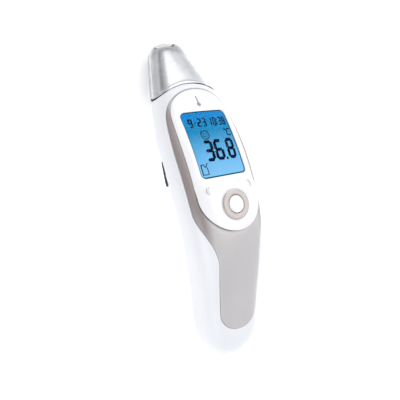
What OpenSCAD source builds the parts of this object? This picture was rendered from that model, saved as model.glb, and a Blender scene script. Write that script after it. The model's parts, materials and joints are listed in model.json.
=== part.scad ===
// Digital ear and forehead thermometer: bent wand body, lit display, probe under a clear cap.
// It lies on its back: display up, probe toward +Y, width along X. The origin is on the floor
// under the middle of the body. Lengths below are measured along Y from the heel.

/* [Body] */
// Length from the heel to the tip of the cap
body_length = 150; // [144:1:156]
// Half width control at the heel
side_heel = 13.0; // [12.8:0.1:13.4]
// Half width control at the grip
side_grip = 15.7; // [15.4:0.1:16.2]
// Half width control at the palm
side_palm = 19.0; // [18.5:0.1:19.6]
// Half width control at the thumb pad
side_thumb = 20.6; // [20.2:0.1:21.2]
// Half width control at the display
side_display = 21.9; // [21.4:0.1:22.4]
// Half width control at the neck
side_neck = 16.6; // [16.3:0.1:17]
// Half width control at the nose
side_nose = 8.1; // [7.8:0.1:8.6]
// Wall thickness of the moulded shells
shell_wall = 1.6; // [1.5:0.05:1.7]

/* [Profile] */
// Front height control at the heel
front_heel = 23.7; // [23:0.1:24.4]
// Front height control at the grip
front_grip = 28.2; // [27.8:0.1:28.8]
// Front height control at the palm
front_palm = 39.4; // [38.8:0.1:40]
// Front height control at the thumb pad
front_thumb = 39.0; // [38.6:0.1:39.6]
// Front height control at the display
front_display = 34.0; // [33.6:0.1:34.4]
// Front height control at the neck
front_neck = 24.8; // [24.5:0.1:25.2]
// Front height control at the nose
front_nose = 14.1; // [13.8:0.1:14.6]
// Back height control at the heel
back_heel = -3.4; // [-3.8:0.1:-3]
// Back height control at the grip
back_grip = 1.6; // [1.3:0.1:1.9]
// Back height control at the palm
back_palm = 10.4; // [10:0.1:10.8]
// Back height control at the thumb pad
back_thumb = 12.4; // [12:0.1:12.8]
// Back height control at the display
back_display = 8.2; // [7.9:0.1:8.6]
// Back height control at the neck
back_neck = 4.4; // [4.1:0.1:4.7]
// Back height control at the nose
back_nose = -1.2; // [-1.6:0.1:-0.9]

/* [Face] */
// Width of the display window
window_w = 24; // [22:0.5:24.5]
// Length of the display window
window_l = 30; // [28:0.5:30.5]
// Height of the window centre above the heel, along Y
window_y = 98.5; // [98:0.1:99]
// Half width of the white face panel
panel_half = 16.1; // [15.8:0.1:16.4]
// How far the thumb pad stands above the panel
pad_lift = 0.9; // [0.5:0.1:1.2]
// Distance of the power key from the heel, along Y
key_y = 70.7; // [70.2:0.1:71.2]
// Radius of the power key
key_r = 3.8; // [3.6:0.1:4.2]
// Outer radius of the ring round the power key
ring_r = 6.6; // [6.4:0.1:7]

/* [Probe] */
// Wall thickness of the clear cap
cap_wall = 1.3; // [1.1:0.05:1.35]
// Tilt of the probe axis below the Y axis, degrees
head_tilt = 17; // [16:0.5:18]
// Bore radius of the sensor barrel
barrel_bore = 2.6; // [2.2:0.1:2.7]

/* [Power] */
// Diameter of one AAA cell
cell_d = 10.5; // [10:0.1:10.5]
// Length of one AAA cell without its nub
cell_l = 43.7; // [43:0.1:43.7]

/* [Hidden] */

// Colours
white = [0.93, 0.93, 0.94];
greige = [0.78, 0.76, 0.75];
dark = [0.16, 0.17, 0.19];
steel = [0.75, 0.76, 0.78];
gold = [0.83, 0.68, 0.35];
board_green = [0.10, 0.38, 0.24];
clear_blue = [0.45, 0.75, 0.95, 0.6];

// Round facets
fine = 72;
small = 32;

// Body curves: seven evenly spaced controls from the heel to the nose
spacing = body_length / 6;
side_controls = [side_heel, side_grip, side_palm, side_thumb, side_display, side_neck, side_nose];
front_controls = [front_heel, front_grip, front_palm, front_thumb, front_display, front_neck, front_nose];
back_controls = [back_heel, back_grip, back_palm, back_thumb, back_display, back_neck, back_nose];
front_power = 2.4;
back_power = 2.1;
mid_share = 0.55;
heel_round = 15.3;
nose_round = 5.4;
nose_shrink = 0.4;

// Parting lines
gap = 0.3;
fit = 0.12;
seam_y = 127.3;
seam_r = 30;
cone_inset = shell_wall + 0.06;

// Value of a clamped cubic spline over the seven controls
function control(c, i) = i < 0 ? 2 * c[0] - c[1] : i > 6 ? 2 * c[6] - c[5] : c[i];
function blend4(a, b, c, d, t) = (a * pow(1 - t, 3) + b * (3 * t * t * t - 6 * t * t + 4)
  + c * (-3 * t * t * t + 3 * t * t + 3 * t + 1) + d * t * t * t) / 6;
function spline(c, y) = let(u = y / spacing, i = max(0, min(5, floor(u))))
  blend4(control(c, i - 1), control(c, i), control(c, i + 1), control(c, i + 2), u - i);

// Shrink of a section close to the rounded heel and nose
function heel_scale(y, inset) = let(s = max(0, min(1, (heel_round - y + inset) / (heel_round - inset * 0.2))))
  pow(1 - pow(s, 2.2), 1 / 2.2);
function nose_scale(y) = let(q = max(0, min(1, (y - body_length + nose_round) / nose_round)))
  1 - nose_shrink * (1 - sqrt(1 - q * q));
function section_scale(y, inset) = heel_scale(y, inset) * nose_scale(y);

function smooth(t) = let(q = max(0, min(1, t))) q * q * (3 - 2 * q);
function half_side(y) = spline(side_controls, y);
function front_z(y) = spline(front_controls, y);
function back_z(y) = spline(back_controls, y);
function mid_z(y) = back_z(y) + mid_share * (front_z(y) - back_z(y));
function signed_pow(v, p) = sign(v) * pow(abs(v), p);

// One closed section of the body, drawn inward by inset, its front raised by lift
function section(y, inset, lift, n) = let(k = section_scale(y, inset), m = mid_z(y),
  w = (half_side(y) - inset) * k, f = (front_z(y) - m - inset + lift) * k, b = (m - back_z(y) - inset) * k)
  [for (i = [0 : n - 1]) let(a = 360 * i / n, p = 2 / (sin(a) >= 0 ? front_power : back_power))
    [w * signed_pow(cos(a), p), y, m + (sin(a) >= 0 ? f : b) * signed_pow(sin(a), p)]];

// Stations along the body: close together at the heel and nose
function stations(inset) = concat(
  [for (s = [0.0015, 0.012, 0.04, 0.09, 0.17, 0.28, 0.42, 0.6, 0.8]) inset + s * heel_round],
  [for (y = [heel_round + 1 : 4.6 : 143]) y],
  [for (a = [0 : 18 : 90]) body_length - nose_round + nose_round * sin(a)]);

// How far the panel stands above the body at a given station
panel_lift = 0.2;
function pad(y) = panel_lift + pad_lift * smooth((80.5 - y) / 5) * smooth((y - 54) / 5);
sides = 40;

// Solid of the whole body and cap drawn inward by inset
module body_solid(inset, raised = false) {
  ys = stations(inset);
  rings = len(ys);
  points = [for (y = ys) each section(y, inset, raised ? pad(y) : 0, sides)];
  walls = [for (j = [0 : rings - 2], i = [0 : sides - 1]) let(k = (i + 1) % sides)
    [j * sides + i, j * sides + k, (j + 1) * sides + k, (j + 1) * sides + i]];
  ends = [[for (i = [sides - 1 : -1 : 0]) i], [for (i = [0 : sides - 1]) (rings - 1) * sides + i]];
  polyhedron(points = points, faces = concat(walls, ends), convexity = 6);
}

// Everything below the curved edge of the cap, moved along Y by shift
module below_seam(shift = 0) {
  translate([0, shift, -20])
    linear_extrude(90)
      union() {
        translate([0, seam_y - seam_r]) circle(seam_r, $fn = 120);
        translate([-40, -10]) square([80, seam_y - seam_r + 10]);
      }
}

// Everything in front of, or behind, the mid line of the body
module halfspace(front) {
  top = front ? 80 : -30;
  rotate([90, 0, 90])
    linear_extrude(90, center = true)
      polygon(concat([for (y = [-10 : 10 : 160]) [y, mid_z(max(0, min(150, y)))]], [[160, top], [-10, top]]));
}

// Plan outline of the greige front cover, grown by g
cover_heel = 14.7;
cover_top = 124.9;
function cover_wide(y) = 19 - 2.2 * pow(max(0, (y - 92) / 22), 2) - 0.6 * pow(max(0, (92 - y) / 22), 2);
function cover_grip(y) = 10.0 + 1.0 * smooth((y - 18) / 26);
function cover_half(y) = let(s = max(0, (y - 106) / (cover_top - 106)), h = max(0, (cover_heel + 9 - y) / 9))
  (cover_grip(y) + (cover_wide(y) - cover_grip(y)) * smooth((y - 45) / 25))
  * sqrt(max(0, 1 - pow(s, 4))) * pow(max(0, 1 - pow(h, 2.2)), 0.4545);

// Plan outline of the white face panel
panel_heel = 59.5;
panel_top = 124.4;
panel_turn = panel_heel + panel_half;
function panel_side(y) = let(s = max(0, (y - 106) / (panel_top - 106)), h = min(1, max(0, (panel_turn - y) / panel_half)))
  (panel_half - 0.9 * pow(max(0, (y - 95) / 20), 2)) * sqrt(max(0, 1 - pow(s, 4))) * sqrt(1 - h * h);

module mirrored_outline(ys, halves, g) {
  offset(delta = g)
    polygon(concat([for (i = [0 : len(ys) - 1]) [halves[i], ys[i]]],
      [for (i = [len(ys) - 1 : -1 : 0]) [-halves[i], ys[i]]]));
}

module cover_outline(g = 0) {
  ys = concat([for (a = [3 : 14 : 87]) cover_heel + 9 * (1 - cos(a))], [for (y = [25 : 4 : 109]) y],
    [for (a = [10 : 10 : 80]) 110 + (cover_top - 110) * sin(a)], [cover_top - 0.03]);
  mirrored_outline(ys, [for (y = ys) cover_half(y)], g);
}

module panel_outline(g = 0) {
  ys = concat([for (a = [2 : 8 : 82]) panel_turn - panel_half * cos(a)], [for (y = [panel_turn : 5 : 106]) y],
    [for (a = [10 : 8 : 82]) 106 + (panel_top - 106) * sin(a)], [panel_top - 0.02]);
  mirrored_outline(ys, [for (y = ys) panel_side(y)], g);
}

// Rounded oblong with arc corners
module rounded(w, l, r) {
  hull() for (x = [-1, 1], y = [-1, 1]) translate([x * (w / 2 - r), y * (l / 2 - r)]) circle(r, $fn = small);
}

module window_outline(g = 0) {
  translate([0, window_y]) rounded(window_w + 2 * g, window_l + 2 * g, 2.2 + g);
}

// Flat plate with rounded corners, standing on XY
module plate(w, l, h, r) {
  translate([-w / 2 + r, -l / 2, 0]) cube([w - 2 * r, l, h]);
  translate([-w / 2, -l / 2 + r, 0]) cube([w, l - 2 * r, h]);
  for (x = [-1, 1], y = [-1, 1])
    translate([x * (w / 2 - r), y * (l / 2 - r), 0]) cylinder(h = h, r = r, $fn = small);
}

// Plan outline of the battery door
door_low = 14.5;
door_high = 61;
door_half = 11.3;
module door_outline(g = 0) {
  translate([0, (door_low + door_high) / 2])
    rounded(2 * (door_half + g), door_high - door_low + 2 * g, 4 + g);
}

module upright(h = 90) {
  translate([0, 0, -20]) linear_extrude(h) children();
}

// Frames of reference for the tilted pieces
display_tilt = 15.1;
display_z = front_z(window_y);
module on_display() {
  translate([0, window_y, display_z]) rotate([-display_tilt, 0, 0]) children();
}

key_tilt = 3;
key_z = front_z(key_y) + panel_lift + pad_lift;
module on_key() {
  translate([0, key_y, key_z]) rotate([-key_tilt, 0, 0]) children();
}

scan_pos = [-19.3, 89.2, 18.5];
scan_turn = 57.3;
module on_scan() {
  translate(scan_pos) rotate([0, -90 - (90 - scan_turn), 0]) children();
}

nose_z = (front_nose + back_nose) / 2;
module on_head() {
  translate([0, body_length, nose_z]) rotate([-90 - head_tilt, 0, 0]) children();
}

cell_start = [0, 13.6, 12.3];
cell_tilt = 11.4;
module on_cells() {
  translate(cell_start) rotate([-90 + cell_tilt, 0, 0]) children();
}

// Oblong post standing on XY with its long side along Y
module oblong(w, l, h) {
  translate([-w / 2, -(l - w) / 2, 0]) cube([w, l - w, h]);
  for (s = [-1, 1]) translate([0, s * (l - w) / 2, 0]) cylinder(h = h, r = w / 2, $fn = small);
}

// Case screws enter from the back: two by the neck, one above the battery bay
screw_spots = [[-11, 114.5], [11, 114.5], [0, 63.2]];
screw_post = 2.3;
screw_hole = 1.25;
function back_at(x, y) = mid_z(y) - (mid_z(y) - back_z(y)) * pow(1 - pow(abs(x) / half_side(y), back_power), 1 / back_power);
function front_at(x, y) = mid_z(y) + (front_z(y) - mid_z(y)) * pow(1 - pow(abs(x) / half_side(y), front_power), 1 / front_power);
screw_head_up = 3.4;
screw_length = 9;

// Scan key sizes
scan_w = 4;
scan_l = 11.5;
scan_proud = 0.6;

// White rear shell: back, flanks, neck band, screw posts and ribs
module rear_shell() {
  color(white)
    resize([0, 0, 0])
      difference() {
        union() {
          difference() {
            intersection() {
              body_solid(0);
              below_seam();
            }
            body_solid(shell_wall);
          }
          intersection() {
            body_solid(0.4);
            for (p = screw_spots)
              translate([p[0], p[1], back_at(p[0], p[1])]) cylinder(h = 13, r = screw_post + 0.6, $fn = small);
          }
          intersection() {
            body_solid(0.4);
            halfspace(false);
            for (y = [68, 76, 102])
              translate([-30, y, -5]) cube([60, 1.1, back_z(y) + 5 + 4.5]);
          }
        }
        intersection() {
          upright() cover_outline(fit);
          halfspace(true);
        }
        intersection() {
          upright() door_outline(gap);
          halfspace(false);
        }
        on_scan() translate([0, 0, -4]) oblong(scan_w + 2 * gap, scan_l + 2 * gap, 12);
        for (p = screw_spots)
          translate([p[0], p[1], -5]) {
            cylinder(h = 60, r = screw_hole, $fn = small);
            cylinder(h = back_at(p[0], p[1]) + 5 + screw_head_up, r = screw_post - 0.2, $fn = small);
          }
        translate([-30, -30, -60]) cube([60, 220, 60]);
      }
}

// Greige front cover with the pocket for the face panel and posts for the board
board_screw_spots = [[-10, -20.5], [10, -20.5]];
board_top = -8;
module front_cover() {
  color(greige)
    resize([0, 0, 0])
      difference() {
        union() {
          intersection() {
            difference() {
              body_solid(0);
              body_solid(shell_wall);
            }
            upright() cover_outline();
            halfspace(true);
          }
          intersection() {
            body_solid(0.5);
            halfspace(true);
            union() {
              on_display()
                for (p = board_screw_spots)
                  translate([p[0], p[1], board_top]) cylinder(h = 8, r = 2, $fn = small);
              for (p = screw_spots)
                translate([p[0], p[1], back_at(p[0], p[1]) + 13.3]) cylinder(h = 30, r = screw_post, $fn = small);
            }
          }
        }
        intersection() {
          difference() {
            body_solid(-2);
            body_solid(0.95);
          }
          upright() panel_outline(0.1);
          halfspace(true);
        }
        upright() window_outline(0.5);
        on_key() translate([0, 0, -9]) cylinder(h = 12, r = 6, $fn = fine);
        on_display()
          for (p = board_screw_spots) translate([p[0], p[1], board_top - 1]) cylinder(h = 5, r = 0.9, $fn = small);
        for (p = screw_spots)
          translate([p[0], p[1], back_at(p[0], p[1]) + 12]) cylinder(h = 6, r = 1.0, $fn = small);
      }
}

// White gloss face panel, swelling into a pad round the power key
module display_panel() {
  color([0.97, 0.97, 0.98])
    resize([0, 0, 0])
      difference() {
        intersection() {
          difference() {
            body_solid(0, true);
            body_solid(0.9);
          }
          upright() panel_outline();
          halfspace(true);
        }
        upright() window_outline(0.1);
        on_key() translate([0, 0, -1.1]) cylinder(h = 6, r = ring_r + 0.05, $fn = fine);
        on_key() translate([0, 0, -9]) cylinder(h = 12, r = 6, $fn = fine);
      }
}

// Clear lens over the display: its top follows the panel, its underside is flat
lens_under = -2.65;
module display_window() {
  color(clear_blue)
    resize([0, 0, 0])
      intersection() {
        body_solid(0, true);
        upright() window_outline();
        on_display() translate([-20, -25, lens_under]) cube([40, 50, 10]);
      }
}

// Glossy ring set in the thumb pad, with a sleeve that guides the key
module button_ring() {
  inner = key_r + gap;
  crown = 0.55;
  color(greige)
    on_key()
      rotate_extrude($fn = fine)
        difference() {
          union() {
            translate([inner, -1.05]) square([ring_r - inner, 1.15]);
            translate([inner, -2.1]) square([5.9 - inner, 1.2]);
            intersection() {
              translate([(inner + ring_r) / 2, 0]) scale([(ring_r - inner) / 2, crown]) circle(1, $fn = small);
              translate([inner, 0]) square([ring_r, 2]);
            }
          }
          translate([inner - 0.3, -0.2]) rotate(45) square(0.35, center = true);
        }
}

// Round power key with a dished top, retaining flange and stem
module power_key() {
  color(white)
    on_key()
      difference() {
        union() {
          translate([0, 0, -2.5]) cylinder(h = 2.75, r = key_r, $fn = fine);
          translate([0, 0, -3.1]) cylinder(h = 0.7, r = key_r + 0.9, $fn = fine);
          translate([0, 0, 0.25]) cylinder(h = 0.2, r1 = key_r, r2 = key_r - 0.25, $fn = fine);
        }
        translate([0, 0, 17.15]) sphere(r = 17, $fn = 96);
        translate([0, 0, -3.6]) cylinder(h = 1.4, r1 = 3.6, r2 = 3.2, $fn = fine);
      }
  color(white)
    on_key() translate([0, 0, -3.1]) cylinder(h = 1.2, r = 1.5, $fn = small);
}

// Dark scan key on the left flank with its inner flange
module scan_key() {
  color(dark)
    on_scan() {
      translate([0, 0, -2.4]) oblong(scan_w, scan_l, 2.4 + scan_proud);
      translate([0, 0, -3.3]) oblong(scan_w + 1.8, scan_l + 1.8, 0.9);
      for (i = [-2 : 2]) translate([-1.2, i * 1.7 - 0.25, scan_proud - 0.05]) cube([2.4, 0.5, 0.2]);
    }
}

// Battery door: a piece of the back skin with finger ridges and stiffening ribs
module battery_door() {
  color(white)
    resize([0, 0, 0])
      difference() {
        union() {
          intersection() {
            difference() {
              body_solid(0);
              body_solid(shell_wall);
            }
            upright() door_outline();
            halfspace(false);
          }
          intersection() {
            body_solid(0.4);
            halfspace(false);
            for (x = [-7.2, 0, 7.2])
              translate([x - 0.5, 22, -2]) rotate([14, 0, 0]) cube([1, 30, 5.2]);
          }
        }
        for (i = [0 : 4])
          translate([0, door_high - 6 - 2.2 * i, back_z(door_high - 6 - 2.2 * i) - 0.35])
            rotate([0, 90, 0]) cylinder(h = 11 - 1.2 * i, r = 0.6, center = true, $fn = 16);
        translate([-30, -30, -60]) cube([60, 220, 60]);
      }
}

// Clear cap over the probe, open at its tip
module protective_cap() {
  color([0.85, 0.92, 0.98, 0.45])
    resize([0, 0, 0])
      difference() {
        body_solid(0);
        body_solid(cap_wall);
        below_seam(gap);
        on_head() translate([0, 0, -6]) cylinder(h = 12, r = 3.7, $fn = fine);
        translate([-30, -30, -60]) cube([60, 220, 60]);
      }
}

// Silver cone that carries the sensor, seated in the neck of the shell
cone_end = 148;
cone_start = 120;
module probe_cone() {
  color([0.72, 0.73, 0.75])
    resize([0, 0, 0])
      difference() {
        intersection() {
          body_solid(cone_inset);
          translate([-30, cone_start, -10]) cube([60, cone_end - cone_start, 60]);
        }
        difference() {
          body_solid(cone_inset + 1.5);
          translate([-30, cone_end - 3, -10]) cube([60, 20, 60]);
        }
        on_head() translate([0, 0, -40]) cylinder(h = 50, r = 3.45, $fn = fine);
      }
}

// Gold lined tube that leads the infrared light to the sensor
module sensor_barrel() {
  color(gold)
    on_head() difference() {
      union() {
        translate([0, 0, -20]) cylinder(h = 17.6, r = 3.3, $fn = fine);
        translate([0, 0, -20]) cylinder(h = 1.4, r = 4.2, $fn = fine);
      }
      translate([0, 0, -21]) cylinder(h = 20, r = barrel_bore, $fn = fine);
      translate([0, 0, -3.1]) cylinder(h = 1, r = 3.0, $fn = fine);
    }
}

// Moulded holder that clamps barrel and sensor can
module sensor_holder() {
  color([0.20, 0.21, 0.23])
    on_head() difference() {
      union() {
        translate([0, 0, -27]) cylinder(h = 12, r = 5.2, $fn = fine);
        translate([-8, -2, -25]) cube([16, 4, 3]);
      }
      translate([0, 0, -20.05]) cylinder(h = 1.5, r = 4.25, $fn = fine);
      translate([0, 0, -19]) cylinder(h = 6, r = 3.35, $fn = fine);
      translate([0, 0, -28]) cylinder(h = 8.1, r = 2.95, $fn = fine);
    }
}

// Infrared sensor in its metal can
module thermopile() {
  color(steel)
    on_head() difference() {
      union() {
        translate([0, 0, -24]) cylinder(h = 3.6, r = 2.35, $fn = fine);
        translate([0, 0, -24.6]) cylinder(h = 0.7, r = 2.8, $fn = fine);
      }
      translate([0, 0, -20.7]) cylinder(h = 1, r = 1.4, $fn = small);
    }
}

// Four leads of the sensor can
module thermopile_leads() {
  color(gold)
    on_head()
      for (a = [45 : 90 : 315]) rotate(a) translate([1.3, 0, -29]) cylinder(h = 4.35, r = 0.22, $fn = 16);
}

// Thin window that seals the barrel
module sensor_window() {
  color([0.35, 0.25, 0.30, 0.8])
    on_head() translate([0, 0, -3.0]) cylinder(h = 0.5, r = 2.95, $fn = fine);
}

// Display glass behind the lens
glass_t = 1.0;
glass_top = lens_under - 0.1;
module lcd_glass() {
  color([0.45, 0.72, 0.92])
    on_display() translate([0, 0, glass_top - glass_t]) plate(window_w - 0.1, window_l - 0.1, glass_t, 2);
}

// Light guide with its edge lamp block
guide_t = 1.6;
guide_low = glass_top - glass_t - 0.05 - guide_t;
module backlight() {
  color([0.92, 0.96, 1.0])
    on_display() {
      translate([-11.6, -11.6, guide_low]) cube([23.2, 26.2, guide_t]);
      translate([-4, -12.9, guide_low]) cube([8, 1.4, guide_t - 0.1]);
    }
}

// Frame that holds glass and light guide against the board
frame_h = glass_top - glass_t - board_top - 0.1;
module lcd_frame() {
  color([0.88, 0.88, 0.90])
    on_display() difference() {
      union() {
        translate([-12.4, -15.3, board_top + 0.05]) cube([24.8, 30.6, frame_h]);
        for (s = [-1, 1]) translate([s * 12.4 - 0.8, -12, board_top + 0.05]) cube([1.6, 24, frame_h - 0.6]);
      }
      translate([-11.7, -11.7, guide_low - 0.05]) cube([23.4, 26.4, 4]);
      translate([-10.6, -13.0, board_top - 1]) cube([21.2, 27.0, 8]);
      translate([-11.2, -14.7, board_top - 1]) cube([22.4, 1.6, 8]);
      translate([-5, -13.15, guide_low - 0.05]) cube([10, 3, 4]);
    }
}

// Striped rubber strip that joins glass and board
module lcd_connector() {
  color([0.55, 0.56, 0.60])
    on_display() translate([-11, -14.6, board_top + 0.02]) cube([22, 1.4, glass_top - glass_t - board_top - 0.04]);
}

// Main circuit board with rounded corners and screw holes
board_t = 1.2;
module main_board() {
  color(board_green)
    on_display() translate([0, 0, board_top - board_t]) difference() {
      union() {
        translate([-13, -23, 0]) cube([26, 39.5, board_t]);
        translate([-8.5, -32, 0]) cube([17, 9.2, board_t]);
      }
      for (p = board_screw_spots) translate([p[0], p[1], -1]) cylinder(h = 4, r = 1.1, $fn = small);
      for (s = [-1, 1]) translate([s * 13, 16.5, -1]) rotate([0, 0, 45]) cube([3, 3, 8], center = true);
    }
}

// Microcontroller with gull wing leads on the back of the board
module controller() {
  color(dark)
    on_display() translate([0, -9, board_top - board_t]) {
      translate([-3.5, -3.5, -1.1]) cube([7, 7, 0.95]);
      for (s = [-1, 1], i = [-3 : 3]) {
        translate([s * 4 - 0.5, i * 0.9 - 0.17, -0.35]) cube([1, 0.34, 0.35]);
        translate([i * 0.9 - 0.17, s * 4 - 0.5, -0.35]) cube([0.34, 1, 0.35]);
      }
    }
}

// Chip capacitors, resistors and the crystal on the back of the board
module board_parts() {
  color([0.70, 0.62, 0.50])
    on_display() translate([0, 0, board_top - board_t]) {
      for (i = [0 : 4]) translate([-11, -15 + 3.2 * i, -0.8]) cube([2, 1.2, 0.8]);
      for (i = [0 : 3]) translate([8.6, -15 + 3.6 * i, -0.7]) cube([1.9, 1.1, 0.7]);
      translate([6, 8, -1.6]) cube([5, 3.2, 1.6]);
      translate([-11.5, 6, -2.2]) cube([5.6, 5.6, 2.2]);
    }
}

// Tactile switch under the power key
module power_switch() {
  color([0.30, 0.31, 0.33])
    on_display() translate([0, -28.2, board_top]) {
      translate([-2.6, -2.6, 0]) cube([5.2, 5.2, 1.7]);
      cylinder(h = 2.2, r = 1.5, $fn = small);
      for (s = [-1, 1]) translate([s * 2.9 - 0.5, -1.7, 0]) cube([1, 3.4, 0.3]);
    }
}

// Small board that carries the scan switch
module side_board() {
  color(board_green)
    on_scan() translate([-3.4, -7, -7.6]) cube([6.8, 14, 1]);
}

// Tactile switch under the scan key
module scan_switch() {
  color([0.30, 0.31, 0.33])
    on_scan() translate([0, 0, -6.6]) {
      translate([-2.3, -3, 0]) cube([4.6, 6, 2.0]);
      cylinder(h = 2.55, r = 1.3, $fn = small);
    }
}

// Round beeper on the back of the board
module buzzer() {
  color(dark)
    on_display() translate([0, 6.5, board_top - board_t - 3.2]) difference() {
      cylinder(h = 3.2, r = 5.2, $fn = fine);
      translate([0, 0, -1]) cylinder(h = 1.8, r = 1, $fn = small);
      translate([0, 0, -0.01]) difference() {
        cylinder(h = 0.3, r = 4.4, $fn = fine);
        cylinder(h = 0.4, r = 3.6, $fn = fine);
      }
    }
}

// Cradle for two cells, open toward the door
cell_x = cell_d / 2 + 0.2;
tray_half = 11.2;
tray_back = 2.0;
tray_front = 6.1;
bay_low = -2.2;
bay_high = 46.4;
module battery_tray() {
  color([0.90, 0.90, 0.92])
    on_cells() difference() {
      translate([-tray_half, -tray_front, bay_low - 0.5])
        cube([2 * tray_half, tray_front + tray_back, bay_high - bay_low + 1]);
      for (s = [-1, 1]) {
        translate([s * cell_x, 0, bay_low]) cylinder(h = bay_high - bay_low, r = cell_d / 2 + 0.15, $fn = fine);
        translate([s * cell_x - cell_d / 2 - 0.15, 0, bay_low]) cube([cell_d + 0.3, 8, bay_high - bay_low]);
      }
      for (s = [-1, 1]) translate([s * tray_half, -tray_front, 22]) rotate([0, 0, 45]) cube([5, 5, 60], center = true);
    }
}

// Two AAA cells, head to tail
module battery_cells() {
  color([0.20, 0.45, 0.35])
    on_cells()
      for (s = [-1, 1])
        translate([s * cell_x, 0, s > 0 ? 0 : cell_l + 0.8]) rotate([s > 0 ? 0 : 180, 0, 0]) {
          cylinder(h = cell_l, r = cell_d / 2, $fn = fine);
          cylinder(h = cell_l + 0.8, r = 1.9, $fn = small);
        }
}

// Stamped contacts at both ends of the bay
module contact_plates() {
  color(steel)
    on_cells()
      for (s = [-1, 1]) {
        translate([s * cell_x - 3.7, -3.7, bay_low + 0.02]) cube([7.4, 7.2, 0.3]);
        translate([s * cell_x - 3.7, -3.7, bay_high - 0.32]) cube([7.4, 7.2, 0.3]);
        translate([s * cell_x, 0, s > 0 ? cell_l + 0.9 : bay_low + 0.3]) cylinder(h = s > 0 ? 1.2 : 1.8, r = 2.2, $fn = small);
      }
}

// Round wire coil standing on XY
module coil(r, wire, pitch, turns) {
  steps = 20 * turns;
  spokes = 8;
  points = [for (i = [0 : steps], k = [0 : spokes - 1])
    let(a = 360 * turns * i / steps, b = 360 * k / spokes, q = r + wire / 2 * cos(b))
    [q * cos(a), q * sin(a), pitch * turns * i / steps + wire / 2 * (1 + sin(b))]];
  walls = [for (i = [0 : steps - 1], k = [0 : spokes - 1]) let(n = (k + 1) % spokes, low = i * spokes, high = low + spokes)
    each [[low + k, low + n, high + n], [low + k, high + n, high + k]]];
  ends = [[for (k = [spokes - 1 : -1 : 0]) k], [for (k = [0 : spokes - 1]) steps * spokes + k]];
  polyhedron(points = points, faces = concat(walls, ends), convexity = 8);
}

// Spring contacts for the flat end of each cell
module contact_springs() {
  color(steel)
    on_cells() {
      translate([cell_x, 0, bay_low + 0.33]) coil(3, 0.4, 0.68, 2);
      translate([-cell_x, 0, cell_l + 0.9]) coil(3, 0.4, 0.64, 1.5);
    }
}

// One screw along Z, head down, its recess cut as a cross
module screw(head_r, head_h, shank_r, length) {
  difference() {
    union() {
      cylinder(h = head_h, r1 = head_r * 0.85, r2 = head_r, $fn = small);
      cylinder(h = length, r = shank_r, $fn = small);
      translate([0, 0, length]) cylinder(h = 0.8, r1 = shank_r, r2 = 0.2, $fn = small);
    }
    for (a = [0, 90]) rotate(a) translate([-head_r * 0.6, -0.2, -1]) cube([head_r * 1.2, 0.4, 1 + head_h * 0.6]);
  }
}

// Three screws that close the case
module case_screws() {
  color(steel)
    for (p = screw_spots)
      translate([p[0], p[1], back_at(p[0], p[1]) + screw_head_up - 1.3]) screw(1.9, 1.25, 0.9, screw_length + 4.8);
}

// Two screws that hold the board
module board_screws() {
  color(steel)
    on_display()
      for (p = board_screw_spots) translate([p[0], p[1], board_top - board_t - 1]) screw(1.6, 0.95, 0.8, 4.4);
}

// Every piece is drawn from the heel, then moved so the origin is under the middle
module placed() {
  translate([0, -body_length / 2, 0]) children();
}

placed() rear_shell();
placed() front_cover();
placed() display_panel();
placed() display_window();
placed() button_ring();
placed() power_key();
placed() scan_key();
placed() battery_door();
placed() protective_cap();
placed() probe_cone();
placed() sensor_barrel();
placed() sensor_holder();
placed() thermopile();
placed() thermopile_leads();
placed() sensor_window();
placed() lcd_glass();
placed() lcd_frame();
placed() backlight();
placed() lcd_connector();
placed() main_board();
placed() controller();
placed() board_parts();
placed() power_switch();
placed() side_board();
placed() scan_switch();
placed() buzzer();
placed() battery_tray();
placed() battery_cells();
placed() contact_plates();
placed() contact_springs();
placed() case_screws();
placed() board_screws();
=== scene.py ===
"""Infrared ear and forehead thermometer, built piece by piece on its CAD frame."""

import json
import math

import bmesh
import bpy
import numpy as np
from mathutils import Matrix, Vector
from mathutils.geometry import delaunay_2d_cdt


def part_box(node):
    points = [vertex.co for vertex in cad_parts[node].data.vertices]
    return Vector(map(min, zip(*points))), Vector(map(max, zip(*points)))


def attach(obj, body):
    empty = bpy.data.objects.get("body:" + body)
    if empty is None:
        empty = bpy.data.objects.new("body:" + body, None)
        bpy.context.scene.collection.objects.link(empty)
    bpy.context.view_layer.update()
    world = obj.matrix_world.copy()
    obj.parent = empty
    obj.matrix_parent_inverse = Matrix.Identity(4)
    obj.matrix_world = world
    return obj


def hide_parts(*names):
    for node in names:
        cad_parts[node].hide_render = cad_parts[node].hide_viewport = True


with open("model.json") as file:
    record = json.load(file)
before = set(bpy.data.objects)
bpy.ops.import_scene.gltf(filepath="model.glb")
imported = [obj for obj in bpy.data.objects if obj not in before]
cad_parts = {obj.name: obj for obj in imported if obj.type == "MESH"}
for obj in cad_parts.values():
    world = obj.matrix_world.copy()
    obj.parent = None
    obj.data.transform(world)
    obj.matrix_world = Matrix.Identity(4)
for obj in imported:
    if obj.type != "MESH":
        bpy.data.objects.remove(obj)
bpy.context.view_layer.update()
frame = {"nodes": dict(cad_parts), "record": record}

bl_info = {
    "name": "Thermometer Wand",
    "version": (1, 0, 0),
    "blender": (4, 5, 0),
    "location": "3D View > Sidebar > Thermometer",
    "description": "Builds the shells, panel, display, keys, cap and probe of an infrared thermometer",
    "category": "Add Mesh",
}

# Lengths in this file are millimetres, with Y measured from the heel, unless a name ends in _m.
MM = 0.001
BODY_LENGTH = 150.0
HALF_LENGTH = BODY_LENGTH / 2

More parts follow.
